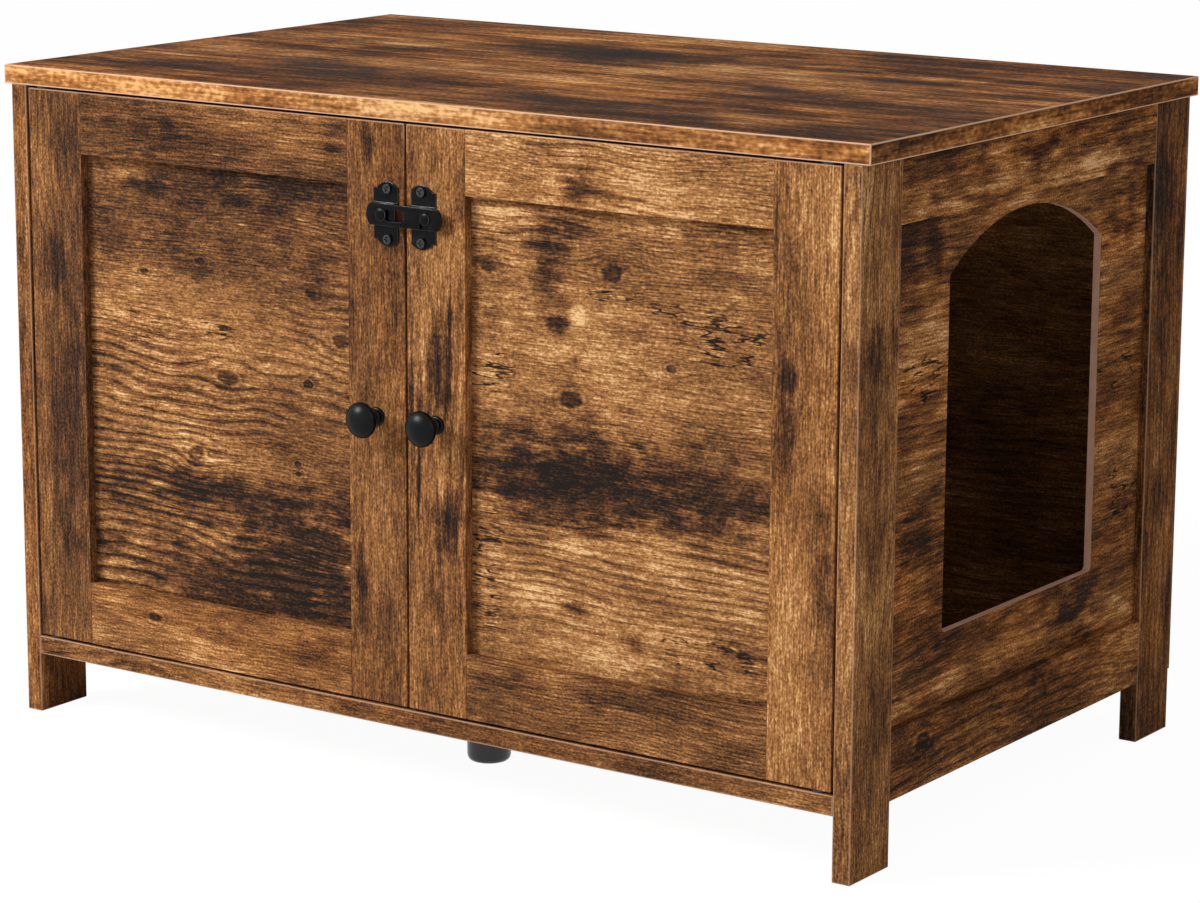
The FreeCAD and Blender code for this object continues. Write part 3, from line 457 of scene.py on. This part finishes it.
class BoardPrint:
    """The material of one printed board: rings, fibres, burnt patches, cracks, and worn edges with a painted
    highlight.
    """

    def __init__(self, node, board, look):
        self.node = node
        self.board = board
        self.look = look
        self.paint = paint = Paint.fresh("wood_" + node)
        self.axes = paint.parts(paint.place())
        self.face = paint.facing()
        self.layers = {}
        # on the end faces the print lies across, as edge banding does
        banded = self.face[board.grain].fade(0.45, 0.55)
        along, self.across, self.third = [
            paint.blend(banded, self.axes[flat], self.axes[end])
            for flat, end in ((board.grain, board.across), (board.across, board.third),
                              (board.third, board.grain))]
        self.own = paint.vector(along, self.across, self.third)

    def layer(self, name):
        """A layer of noise, made when it is first called."""
        if name not in self.layers:
            along, across, step, detail, roughness = LAYERS[name]
            seed, spread = self.board.seed, self.board.spread
            scale = (along / spread, across / spread, across / spread)
            place = self.paint.scaled(self.own, scale, (seed + step, seed * 1.7 + step, seed * 0.6 - step))
            self.layers[name] = self.paint.noise(place, detail, roughness)
        return self.layers[name]

    def move(self, name):
        """How far a layer of noise moves the tone."""
        return self.layer(name) * MOVES[name]

    def reach(self, along_mm, across_mm, half_length_mm, half_width_mm):
        """Distance from a place on the board, 1 at the rim of an ellipse about it."""
        long, wide = half_length_mm * MM, half_width_mm * MM
        centred = self.paint.scaled(self.own, (1 / long, 1 / wide, 0),
                                    (-along_mm * MM / long, -across_mm * MM / wide, 0))
        return self.paint.length(centred)

    def knots(self):
        """Where the rings lie after they bow round the knots, and how dark the knots are."""
        bowed, dark = self.across, 0.0
        for along_mm, across_mm, radius_mm in self.board.knots:
            distance = self.reach(along_mm, across_mm, radius_mm * KNOT_STRETCH, radius_mm)
            distance = distance + self.layer("mottle") * 0.3
            bowed = bowed - (self.across - across_mm * MM) * distance.fade(3.6, 0.3, 0.85)
            ring = (distance * KNOT_RINGS).sine() * distance.fade(2.2, 0.7, 0.1)
            dark = dark + distance.fade(1.2, 0.0, 0.42) - ring
        return bowed, dark

    def rings(self, bowed):
        """The dark grain lines, and the pale wood between the bold ones."""
        clouds, streaks = self.layer("clouds"), self.layer("streaks")
        winding = bowed + self.third * 0.55 + self.layer("bend") * 0.02 + clouds * 0.002
        turns = winding * (2 * math.pi / self.look.ring_pitch)
        fine = (turns + streaks * 1.6).sine().fade(-0.2, 1.0) * self.layer("fine_rings").fade(-0.4, 0.5)
        bold_field = self.layer("bold_rings").fade(-0.15, 0.5)
        bold_wave = (turns * BOLD_PER_FINE + streaks * 1.1 + clouds * 0.8).sine()
        bold = bold_wave.fade(0.45, 1.0) * bold_field
        return fine * 0.6 + bold * 0.8, bold_wave.fade(0.1, -0.9) * bold_field

    def worm_cracks(self):
        """Short pieces of thin winding lines, and the pale splinters beside them."""
        winding = self.layer("winding")
        pieces = self.layer("pieces").fade(-0.35, 0.1)
        eaten = self.layer("patches").fade(0.95, 1.3)
        for area in self.board.cracks:
            distance = self.reach(*area) + self.layer("mottle") * 0.2
            eaten = eaten.greater(distance.fade(1.25, 0.7))
        cracks = winding.size().fade(0.15, 0.06) * pieces * eaten
        splinters = (winding - 0.3).size().fade(0.13, 0.02) * pieces * eaten
        return cracks, splinters

    def broad_tone(self, burnt, knots):
        """The tone of the large forms: clouds, burnt patches, knots and placed marks."""
        board = self.board
        figure = self.move("clouds") + self.move("mottle") + self.move("streaks")
        broad = (figure * board.figure + self.move("drift") + board.tone
                 - burnt * (MOVES["burnt"] * board.burnt) - knots)
        ragged = self.layer("mottle") * 0.48 + self.layer("streaks") * 0.3
        for *area, lift in board.marks:
            distance = self.reach(*area) + ragged
            broad = broad + distance.fade(1.5, -0.15, lift * MOVES["mark"])
        dark_slope, dark_rise = DARK_LIMIT
        light_slope, light_rise = LIGHT_LIMIT
        return broad.greater(broad * dark_slope + dark_rise).lesser(broad * light_slope + light_rise)

    def rubbed(self):
        """The share of worn edge with its painted highlight, from the second smallest distance to the faces of
        the box.
        """
        low, high = wear_and_highlight_box(self.node)
        gaps = []
        for axis in (X, Y, Z):
            middle = (low[axis] + high[axis]) / 2
            half = (high[axis] - low[axis]) / 2
            gaps.append(half - (self.axes[axis] - middle).size())
        small = gaps[X].lesser(gaps[Y])
        large = gaps[X].greater(gaps[Y])
        edge = small.greater(large.lesser(gaps[Z])) + self.layer("streaks") * 0.0002
        width = self.look.wear_and_highlight_width
        rubbed = edge.fade(width, width * 0.35, self.board.wear_and_highlight)
        # painted highlight: on a door only the upper part, which catches the light from above, gets the lighter
        # edge
        if "_door_" in self.node:
            rubbed = rubbed * self.axes[Z].fade(high[Z] - DOOR_HIGHLIGHT_DEPTH, high[Z] - DOOR_HIGHLIGHT_FULL)
        return rubbed

    def colour(self, tone):
        """The tone as a colour, warmed in parts, with the worn edges and their painted highlight, and the
        entrance's sawn edge.
        """
        paint, look = self.paint, self.look
        colour = paint.ramp(tone, [(position, getattr(look, name)) for name, position in TONE_STOPS])
        warm = self.layer("warmth").fade(-0.8, 0.8) * 0.7 + 0.3
        colour = paint.mix(warm * self.board.warmth, colour, look.russet, "MULTIPLY")
        # lighter edges: wear together with a painted highlight
        colour = paint.mix(self.rubbed(), colour, look.worn_edge_and_highlight)
        if self.node == "right_side_panel":
            sawn = paint.mix(self.layer("mottle").fade(-1.0, 1.0, 0.4), look.cut_edge, look.amber)
            colour = paint.mix(self.face[X].fade(0.6, 0.4), colour, sawn)
        return colour

    def material(self):
        """The finished material."""
        board = self.board
        fibres, specks = self.layer("fibres"), self.layer("specks")
        bowed, knots = self.knots()
        rings, pale_wood = self.rings(bowed)
        cracks, splinters = self.worm_cracks()
        flecks = self.layer("flecks").fade(0.4, 1.0) * self.layer("clouds").fade(-0.2, 0.8)
        burnt = self.layer("patches").fade(0.15, 1.05)
        pits = self.layer("pits").fade(1.1, 1.5)
        tone = (self.broad_tone(burnt, knots) + self.move("fibres") + self.move("specks")
                - (rings * MOVES["rings"] - pale_wood * MOVES["pale_wood"]) * board.rings
                - cracks * MOVES["cracks"] + splinters * MOVES["splinters"]
                + flecks * (MOVES["flecks"] * board.rings) - pits * MOVES["pits"])
        height = fibres * 0.5 - rings * 0.3 - cracks * 1.6 - pits + specks * 0.2
        return self.paint.finish(
            Base_Color=self.colour(tone),
            Roughness=0.66 + fibres * 0.05 + cracks * 0.2 - burnt * 0.08,
            Specular_IOR_Level=0.01,
            Normal=self.paint.bump(height, GRAIN_DEPTH, 0.5),
        )


# ---------------------------------------------------------------- other finishes

def black_finish(name, colour, roughness, gloss):
    """Black paint or moulding, with a fine skin and uneven gloss."""
    paint = Paint.fresh(name)
    place = paint.place()
    skin = paint.noise(place, detail=2.0, scale=2600.0)
    cloud = paint.noise(place, detail=3.0, scale=120.0)
    lighter = tuple(part * 1.6 + 0.001 for part in colour)
    tint = paint.mix(cloud.fade(-0.6, 1.0, 0.6), tuple(colour), lighter)
    return paint.finish(
        Base_Color=tint,
        Roughness=roughness + cloud * 0.06,
        Specular_IOR_Level=gloss,
        Normal=paint.bump(skin, 0.02 * MM, 0.4),
    )


def metal_finish(name, colour, roughness):
    """Plated or drawn metal with fine scratches and dull spots."""
    paint = Paint.fresh(name)
    place = paint.place()
    scratches = paint.noise(paint.scaled(place, (900.0, 900.0, 45.0)), detail=3.0, roughness=0.7)
    spots = paint.noise(place, detail=3.0, scale=260.0)
    dull = tuple(part * 0.55 for part in colour)
    return paint.finish(
        Base_Color=paint.mix(spots.fade(-0.2, 1.2, 0.7), tuple(colour), dull),
        Metallic=1.0,
        Roughness=roughness + spots * 0.08 + scratches * 0.04,
        Normal=paint.bump(scratches, 0.01 * MM, 0.5),
    )


def dowel_finish(name):
    """Turned beech with short dark flecks."""
    paint = Paint.fresh(name)
    place = paint.place()
    grain = paint.noise(place, detail=3.0, scale=420.0, roughness=0.65)
    flecks = paint.noise(paint.scaled(place, (900.0, 900.0, 900.0)), detail=1.0).fade(0.7, 1.1)
    tone = grain * 0.25 - flecks * 0.3 + 0.5
    return paint.finish(
        Base_Color=paint.ramp(tone, [(0.1, linear(150, 108, 70)), (0.5, linear(205, 165, 118)),
                                     (0.9, linear(228, 196, 152))]),
        Roughness=0.62 + grain * 0.06,
        Normal=paint.bump(grain, 0.1 * MM, 0.5),
    )


def moulded_finish(name, colour, roughness):
    """Moulded plastic with a faint skin."""
    paint = Paint.fresh(name)
    place = paint.place()
    skin = paint.noise(place, detail=2.0, scale=1800.0)
    cloud = paint.noise(place, detail=2.0, scale=60.0)
    shade = tuple(part * 0.86 for part in colour)
    return paint.finish(
        Base_Color=paint.mix(cloud.fade(-0.8, 0.8, 0.6), colour, shade),
        Roughness=roughness + cloud * 0.05,
        Normal=paint.bump(skin, 0.03 * MM, 0.4),
    )


def dress(node, material):
    """Give a carried-over node its material."""
    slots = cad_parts[node].data.materials
    if not slots:
        slots.append(material)
    for index in range(len(slots)):
        slots[index] = material


# ---------------------------------------------------------------- modelled pieces

TURNED_STEPS = 96


def new_piece(name, mesh, materials, body, node):
    """A finished piece that rides on a body and stands for a node."""
    piece = bpy.data.objects.new(name, mesh)
    bpy.context.scene.collection.objects.link(piece)
    for material in materials:
        mesh.materials.append(material)
    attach(piece, body)
    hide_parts(node)


def smooth_mesh(form, name, sharp_degrees):
    """The form as a mesh, smooth but for edges that bend more than sharp_degrees."""
    mesh = bpy.data.meshes.new(name)
    form.to_mesh(mesh)
    form.free()
    mesh.shade_smooth()
    mesh.set_sharp_from_angle(angle=math.radians(sharp_degrees))
    return mesh


def merged_form(node):
    """A node's own mesh with its doubled vertices merged."""
    form = bmesh.new()
    form.from_mesh(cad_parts[node].data)
    bmesh.ops.remove_doubles(form, verts=form.verts, dist=0.002 * MM)
    return form


def turned(name, profile, start, outward):
    """A mesh turned about an axis: profile is (radius, distance along outward) in mm, from axis to axis."""
    turn = Vector((0, 0, 1)).rotation_difference(outward)
    form = bmesh.new()
    rings = []
    for radius, distance in profile:
        ring = []
        for step in range(TURNED_STEPS if radius else 1):
            angle = 2 * math.pi * step / TURNED_STEPS
            point = Vector((math.cos(angle) * radius, math.sin(angle) * radius, distance)) * MM
            ring.append(form.verts.new(start + turn @ point))
        rings.append(ring)
    for first, second in zip(rings, rings[1:]):
        for step in range(TURNED_STEPS):
            after = (step + 1) % TURNED_STEPS
            if len(first) == 1:
                form.faces.new((first[0], second[step], second[after]))
            elif len(second) == 1:
                form.faces.new((first[step], second[0], first[after]))
            else:
                form.faces.new((first[step], second[step], second[after], first[after]))
    bmesh.ops.recalc_face_normals(form, faces=form.faces)
    return smooth_mesh(form, name, sharp_degrees=48)


def rounded_copy(node, name, width):
    """A merged copy of a stamped node's mesh with rounded edges, which take the second material."""
    form = merged_form(node)
    bmesh.ops.dissolve_limit(form, angle_limit=math.radians(1.0), verts=form.verts, edges=form.edges)
    sharp = [edge for edge in form.edges
             if len(edge.link_faces) == 2 and edge.calc_face_angle() > math.radians(35)]
    bmesh.ops.bevel(form, geom=sharp, offset=width, offset_type="OFFSET", segments=2, profile=0.5,
                    affect="EDGES", clamp_overlap=True, material=1)
    return smooth_mesh(form, name, sharp_degrees=32)


# ---------------------------------------------------------------- screws by Geometry Nodes

# sizes of each kind of screw in mm, in the order of SCREW_SIZES
SCREW_SIZES = ("Head radius", "Seat radius", "Head height", "Crown", "Shank radius", "Shank length",
               "Recess reach", "Recess width", "Recess depth")
PAN_SCREW = (3.6, 3.6, 2.0, 0.6, 1.5, 12.0, 2.5, 1.0, 1.4)
STRIKE_SCREW = (2.7, 2.7, 1.6, 0.7, 1.5, 9.5, 1.5, 0.6, 1.0)
CATCH_SCREW = (2.7, 2.7, 1.6, 0.7, 1.5, 19.0, 1.5, 0.6, 1.0)
KNOB_SCREW = (4.0, 4.0, 2.4, 0.6, 2.0, 28.0, 2.2, 0.8, 1.5)
BACK_SCREW = (2.8, 1.4, 1.6, 0.0, 1.4, 12.0, 1.6, 0.6, 1.0)
FOOT_SCREW = (4.0, 2.0, 2.2, 0.0, 2.0, 39.0, 2.2, 0.8, 1.4)
LEAST_FACES = 20  # of one screw with its recess
SCREW_INPUTS = {"Seats": "NodeSocketGeometry", **{label: "NodeSocketFloat" for label in SCREW_SIZES},
                "Facing": "NodeSocketVector", "Seed": "NodeSocketInt", "Finish": "NodeSocketMaterial"}


def screw_tree():
    """Cross-recessed screws set on points: a crowned or countersunk head, a cross recess and a plain shank."""
    graph = bpy.data.node_groups.new("cross_recessed_screws", "GeometryNodeTree")
    graph.interface.new_socket("Geometry", in_out="OUTPUT", socket_type="NodeSocketGeometry")
    for label, kind in SCREW_INPUTS.items():
        graph.interface.new_socket(label, in_out="INPUT", socket_type=kind)
    group = Tree(graph)
    start = group.add("NodeGroupInput").socket.node
    entry = {socket.name: Wire(group, socket) for socket in start.outputs}

    def together(*parts):
        joined = group.add("GeometryNodeJoinGeometry")
        for part in reversed(parts):
            graph.links.new(part.socket, joined.socket.node.inputs[0])
        return joined

    def moved(part, **change):
        return group.add("GeometryNodeTransform", None, {"Geometry": part, **change})

    head = group.add("GeometryNodeMeshCone", {"fill_type": "NGON"}, {
        "Vertices": 32, "Side Segments": 1, "Fill Segments": 5, "Depth": entry["Head height"],
        "Radius Top": entry["Head radius"], "Radius Bottom": entry["Seat radius"]})
    x, y, height = group.parts(group.add("GeometryNodeInputPosition"))
    area = x * x + y * y
    share = area.math("SQRT", area) / entry["Head radius"]
    top = height.math("COMPARE", height, entry["Head height"], 0.05 * MM)
    lowered = share * share * entry["Crown"] * top * -1.0
    head = group.add("GeometryNodeSetPosition", None, {"Geometry": head, "Offset": group.vector(z=lowered)})

    size = group.vector(entry["Recess reach"] * 2.0, entry["Recess width"], entry["Recess depth"] * 2.0)
    blade = group.add("GeometryNodeMeshCube", None, {"Size": size})
    cross = together(blade, moved(blade, Rotation=(0, 0, math.pi / 2)))
    blades = moved(cross, Translation=group.vector(z=entry["Head height"]))
    cut = group.add("GeometryNodeMeshBoolean", {"operation": "DIFFERENCE", "solver": "EXACT"},
                    {"Mesh 1": head, "Mesh 2": blades, "Self Intersection": True})
    shank = group.add("GeometryNodeMeshCylinder", None,
                      {"Vertices": 16, "Radius": entry["Shank radius"], "Depth": entry["Shank length"]})
    shank = moved(shank, Translation=group.vector(z=entry["Shank length"] * -0.5))
    screw = moved(together(cut, shank), Translation=group.vector(z=entry["Head height"] * -1.0))

    placed = group.add("GeometryNodeInstanceOnPoints", None,
                       {"Points": entry["Seats"], "Instance": screw, "Rotation": entry["Facing"]})
    angle = group.add("FunctionNodeRandomValue", {"data_type": "FLOAT"},
                      {2: 0.0, 3: 2 * math.pi, "Seed": entry["Seed"]}, 1)
    spun = group.add("GeometryNodeRotateInstances", None,
                     {"Instances": placed, "Rotation": group.vector(z=angle), "Local Space": True})
    solid = group.add("GeometryNodeRealizeInstances", None, {"Geometry": spun})
    painted = group.add("GeometryNodeSetMaterial", None, {"Geometry": solid, "Material": entry["Finish"]})
    group.add("NodeGroupOutput", None, {0: painted})
    return graph


def screw_piece(graph, node, seats, facing, sizes, material, body):
    """Screws on their seats, as one plain mesh for one body."""
    name = node + "_cross"
    mesh = bpy.data.meshes.new(name + "_seats")
    mesh.from_pydata([tuple(part * MM for part in seat) for seat in seats], [], [])
    holder = bpy.data.objects.new(name + "_seats", mesh)
    bpy.context.scene.collection.objects.link(holder)
    modifier = holder.modifiers.new("screws", "NODES")
    modifier.node_group = graph
    turn = Vector((0, 0, 1)).rotation_difference(facing).to_euler()
    values = {label: size * MM for label, size in zip(SCREW_SIZES, sizes)}
    values.update({"Facing": tuple(turn), "Seed": bpy.context.scene.black_hardware.screw_seed,
                   "Finish": material})
    for item in graph.interface.items_tree:
        if item.name in values:
            modifier[item.identifier] = values[item.name]
    bpy.context.view_layer.update()
    depsgraph = bpy.context.evaluated_depsgraph_get()
    result = bpy.data.meshes.new_from_object(holder.evaluated_get(depsgraph))
    result.name = name
    result.materials.clear()
    bpy.data.objects.remove(holder)
    if len(result.polygons) < len(seats) * LEAST_FACES:
        raise RuntimeError(name + " has no screw heads")
    result.shade_smooth()
    result.set_sharp_from_angle(angle=math.radians(30))
    new_piece(name, result, [material], body, node)


def seats_of(node, face_axis, at_high_side):
    """The middle of each screw head of a node, in mm, on the side that the heads face."""
    form = merged_form(node)
    seats = []
    left = set(form.verts)
    while left:
        island = [left.pop()]
        points = []
        while island:
            vertex = island.pop()
            points.append(vertex.co.copy())
            for edge in vertex.link_edges:
                other = edge.other_vert(vertex)
                if other in left:
                    left.discard(other)
                    island.append(other)
        low = [min(point[axis] for point in points) for axis in (X, Y, Z)]
        high = [max(point[axis] for point in points) for axis in (X, Y, Z)]
        seat = [(a + b) / 2 / MM for a, b in zip(low, high)]
        seat[face_axis] = (high if at_high_side else low)[face_axis] / MM
        seats.append(tuple(seat))
    form.free()
    return sorted(seats)


# ---------------------------------------------------------------- operators

class PrintBoards(bpy.types.Operator):
    """Print the wood on every board of the carcass and the doors"""

    bl_idname = "litter_cabinet.print_boards"
    bl_label = "Print boards"

    def execute(self, context):
        for node, board in BOARDS.items():
            dress(node, BoardPrint(node, board, context.scene.wood_print).material())
        return {"FINISHED"}


class FinishFittings(bpy.types.Operator):
    """Give the dowels, cams, bolts, pins, bushes, catch and strikes their finishes"""

    bl_idname = "litter_cabinet.finish_fittings"
    bl_label = "Finish fittings"

    def execute(self, context):
        beech = dowel_finish("beech_dowel")
        zinc = metal_finish("zinc_casting", linear(176, 178, 180), 0.42)
        steel = metal_finish("plated_steel", linear(188, 188, 186), 0.32)
        magnet = metal_finish("magnet_nickel", linear(150, 150, 152), 0.28)
        black = moulded_finish("black_moulding", linear(30, 29, 29), 0.45)
        finishes = {
            beech: ("wood_dowels", "left_door_dowels", "right_door_dowels"),
            zinc: ("cam_locks", "cam_bolts"),
            steel: ("left_door_pivot_pins", "right_door_pivot_pins", "left_strike_plate", "right_strike_plate"),
            magnet: ("catch_magnets",),
            black: ("magnetic_catch", "door_pivot_bushes"),
        }
        for material, nodes in finishes.items():
            for node in nodes:
                dress(node, material)
        return {"FINISHED"}


KNOB_PROFILE = [
    (0, 0), (6.4, 0), (7.0, 0.3), (7.2, 1.0), (7.0, 1.9), (6.3, 2.5), (5.4, 2.7), (5.3, 3.0), (5.7, 3.3),
    (5.9, 3.9), (5.7, 4.6), (5.0, 5.1), (4.5, 6.0), (4.4, 8.0), (4.5, 10.0), (5.0, 11.6), (6.4, 12.9),
    (8.9, 14.6), (11.3, 16.0), (12.9, 17.4), (13.6, 18.5), (13.8, 19.4), (13.7, 20.4), (13.4, 21.3),
    (12.8, 22.2), (11.9, 23.2), (10.5, 24.3), (8.6, 25.3), (6.5, 26.1), (4.3, 26.6), (2.2, 26.9), (0, 27.0)]
FOOT_PROFILE = [
    (0, 0), (12.4, 0), (13.6, 0.15), (14.8, 0.6), (15.8, 1.4), (16.5, 2.4), (16.95, 3.6), (17.2, 5.0),
    (17.45, 18.0), (17.75, 34.0), (18.0, 48.6), (17.9, 49.0), (0, 49.0)]


class TurnKnobs(bpy.types.Operator):
    """Turn the two mushroom knobs"""

    bl_idname = "litter_cabinet.turn_knobs"
    bl_label = "Turn knobs"

    def execute(self, context):
        black = black_finish("knob_lacquer", context.scene.black_hardware.knob_black, 0.3, gloss=0.13)
        for side in ("left", "right"):
            node = side + "_door_knob"
            low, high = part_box(node)
            start = Vector(((low.x + high.x) / 2, high.y, (low.z + high.z) / 2))
            mesh = turned(side + "_knob", KNOB_PROFILE, start, Vector((0, -1, 0)))
            new_piece(side + "_knob", mesh, [black], side + "_door", node)
        return {"FINISHED"}


class MouldFoot(bpy.types.Operator):
    """Mould the round centre foot"""

    bl_idname = "litter_cabinet.mould_foot"
    bl_label = "Mould foot"

    def execute(self, context):
        black = moulded_finish("foot_moulding", linear(24, 23, 23), 0.28)
        low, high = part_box("centre_foot")
        start = Vector(((low.x + high.x) / 2, (low.y + high.y) / 2, low.z))
        mesh = turned("round_foot", FOOT_PROFILE, start, Vector((0, 0, 1)))
        new_piece("round_foot", mesh, [black], "cabinet", "centre_foot")
        return {"FINISHED"}


class StampLatch(bpy.types.Operator):
    """Stamp the latch plates, bar, rivet and stud"""

    bl_idname = "litter_cabinet.stamp_latch"
    bl_label = "Stamp latch"

    def execute(self, context):
        look = context.scene.black_hardware
        black = black_finish("latch_lacquer", look.latch_black, 0.24, gloss=0.08)
        rubbed = black_finish("polished_latch_edge", look.screw_black, 0.14, gloss=0.9)
        for node, name, body, rounding in (
                ("latch_base_plate", "base_plate", "left_door", 1.0),
                ("latch_keeper_plate", "keeper_plate", "right_door", 1.0),
                ("latch_bar", "swing_bar", "latch_bar", 1.0),
                ("latch_rivet", "bar_rivet", "left_door", 0.8),
                ("latch_stud", "keeper_stud", "right_door", 0.8)):
            mesh = rounded_copy(node, name, look.edge_round * rounding)
            new_piece(name, mesh, [black, rubbed], body, node)
        return {"FINISHED"}


class DriveScrews(bpy.types.Operator):
    """Set every screw with its cross recess, turned as it stopped"""

    bl_idname = "litter_cabinet.drive_screws"
    bl_label = "Drive screws"

    def execute(self, context):
        graph = screw_tree()
        dark = black_finish("blackened_screw", context.scene.black_hardware.screw_black, 0.12, gloss=0.6)
        zinc = metal_finish("zinc_screw", linear(190, 188, 180), 0.34)
        rows = (
            ("latch_base_screws", Y, False, PAN_SCREW, dark, "left_door", "latch_black"),
            ("latch_keeper_screws", Y, False, PAN_SCREW, dark, "right_door", "latch_black"),
            ("left_door_knob_screw", Y, True, KNOB_SCREW, zinc, "left_door", "steel"),
            ("right_door_knob_screw", Y, True, KNOB_SCREW, zinc, "right_door", "steel"),
            ("left_strike_plate_screw", Y, True, STRIKE_SCREW, zinc, "left_door", "steel"),
            ("right_strike_plate_screw", Y, True, STRIKE_SCREW, zinc, "right_door", "steel"),
            ("catch_screws", Z, False, CATCH_SCREW, zinc, "cabinet", "steel"),
            ("back_panel_screws", Y, True, BACK_SCREW, zinc, "cabinet", "steel"),
            ("centre_foot_screw", Z, True, FOOT_SCREW, zinc, "cabinet", "steel"),
        )
        for node, axis, high_side, sizes, material, body, slot in rows:
            facing = Vector((0, 0, 0))
            facing[axis] = 1.0 if high_side else -1.0
            seats = seats_of(node, axis, high_side)
            screw_piece(graph, node, seats, facing, sizes, material, body)
        return {"FINISHED"}


# the camera's right, up and back axes, and its place in metres
CAMERA_AXES = Matrix(((0.82156088, 0.57010303, 0.00450034), (-0.12391924, 0.17086077, 0.97747154),
                      (0.55649056, -0.80361006, 0.21101926)))
CAMERA_PLACE = Vector((1.73091, -2.480546, 0.877505))
LAMP_TARGET = Vector((0, 0, 0.3))
FLOOR_HALF = 30.0
FLOOR_WHITE = 1.04  # glow of the floor where the camera or a mirror sees it
FLOOR_SHARE = 0.92  # share of that glow, where the rest keeps the object's shadow


def seen_rays(paint):
    """1 for rays from the camera or a reflection, 0 for the light on the object."""
    rays = paint.add("ShaderNodeLightPath").socket.node.outputs
    return Wire(paint, rays["Is Camera Ray"]).greater(Wire(paint, rays["Is Glossy Ray"]))


class SetStage(bpy.types.Operator):
    """Set the camera, the white floor and the studio light"""

    bl_idname = "litter_cabinet.set_stage"
    bl_label = "Set stage"

    def execute(self, context):
        scene = context.scene
        studio = scene.studio

        lens = bpy.data.cameras.new("picture_camera")
        lens.sensor_width = 36.0
        lens.lens = studio.lens
        camera = bpy.data.objects.new("picture_camera", lens)
        scene.collection.objects.link(camera)
        camera.matrix_world = Matrix.Translation(CAMERA_PLACE) @ CAMERA_AXES.transposed().to_4x4()
        scene.camera = camera

        # floor: a wide sheet, white to the camera, that keeps a soft shadow
        mesh = bpy.data.meshes.new("studio_floor")
        corners = [(x * FLOOR_HALF, y * FLOOR_HALF, 0) for x, y in ((-1, -1), (1, -1), (1, 1), (-1, 1))]
        mesh.from_pydata(corners, [], [(0, 1, 2, 3)])
        floor = bpy.data.objects.new("studio_floor", mesh)
        scene.collection.objects.link(floor)
        paint = Paint.fresh("studio_white")
        matt = paint.add("ShaderNodeBsdfDiffuse", None, {"Color": (0.86, 0.86, 0.86)})
        white = paint.add("ShaderNodeEmission", None, {"Color": (1, 1, 1), "Strength": FLOOR_WHITE})
        surface = paint.add("ShaderNodeMixShader", None, {0: seen_rays(paint) * FLOOR_SHARE, 1: matt, 2: white})
        paint.add("ShaderNodeOutputMaterial", None, {"Surface": surface})
        mesh.materials.append(paint.owner)

        # even white sky, plain white where it is seen
        scene.world = bpy.data.worlds.new("studio_sky")
        sky = Paint(scene.world)
        strength = seen_rays(sky) * (1.0 - studio.sky) + studio.sky
        glow = sky.add("ShaderNodeBackground", None, {"Color": (1, 1, 1), "Strength": strength})
        sky.add("ShaderNodeOutputWorld", None, {"Surface": glow})

        for name, place, width, power in (
                ("key_softbox", (-1.9, -2.6, 2.3), 1.2, studio.key_power),
                ("fill_softbox", (2.8, -1.0, 1.6), 1.8, studio.fill_power)):
            lamp = bpy.data.lights.new(name, "AREA")
            lamp.energy = power
            lamp.size = width
            holder = bpy.data.objects.new(name, lamp)
            scene.collection.objects.link(holder)
            holder.location = place
            holder.rotation_euler = (LAMP_TARGET - Vector(place)).to_track_quat("-Z", "Y").to_euler()
        scene.view_settings.view_transform = "Standard"
        return {"FINISHED"}


OPERATORS = (SetStage, PrintBoards, FinishFittings, TurnKnobs, MouldFoot, StampLatch, DriveScrews)


class CabinetPanel(bpy.types.Panel):
    """The cabinet's steps, in order"""

    bl_idname = "VIEW3D_PT_litter_cabinet"
    bl_label = "Cat litter box cabinet"
    bl_space_type = "VIEW_3D"
    bl_region_type = "UI"
    bl_category = "Cabinet"

    def draw(self, context):
        column = self.layout.column()
        for operator in OPERATORS:
            column.operator(operator.bl_idname)
        for group in (context.scene.wood_print, context.scene.black_hardware, context.scene.studio):
            box = self.layout.box()
            for name in group.bl_rna.properties.keys():
                if name not in ("rna_type", "name"):
                    box.prop(group, name)


CLASSES = (WoodPrint, BlackHardware, Studio, *OPERATORS, CabinetPanel)


def register():
    for item in CLASSES:
        bpy.utils.register_class(item)
    bpy.types.Scene.wood_print = PointerProperty(type=WoodPrint)
    bpy.types.Scene.black_hardware = PointerProperty(type=BlackHardware)
    bpy.types.Scene.studio = PointerProperty(type=Studio)


def unregister():
    del bpy.types.Scene.studio
    del bpy.types.Scene.black_hardware
    del bpy.types.Scene.wood_print
    for item in reversed(CLASSES):
        bpy.utils.unregister_class(item)


def main():
    register()
    bpy.ops.litter_cabinet.set_stage()
    bpy.ops.litter_cabinet.print_boards()
    bpy.ops.litter_cabinet.finish_fittings()
    bpy.ops.litter_cabinet.turn_knobs()
    bpy.ops.litter_cabinet.mould_foot()
    bpy.ops.litter_cabinet.stamp_latch()
    bpy.ops.litter_cabinet.drive_screws()


if __name__ == "__main__":
    main()
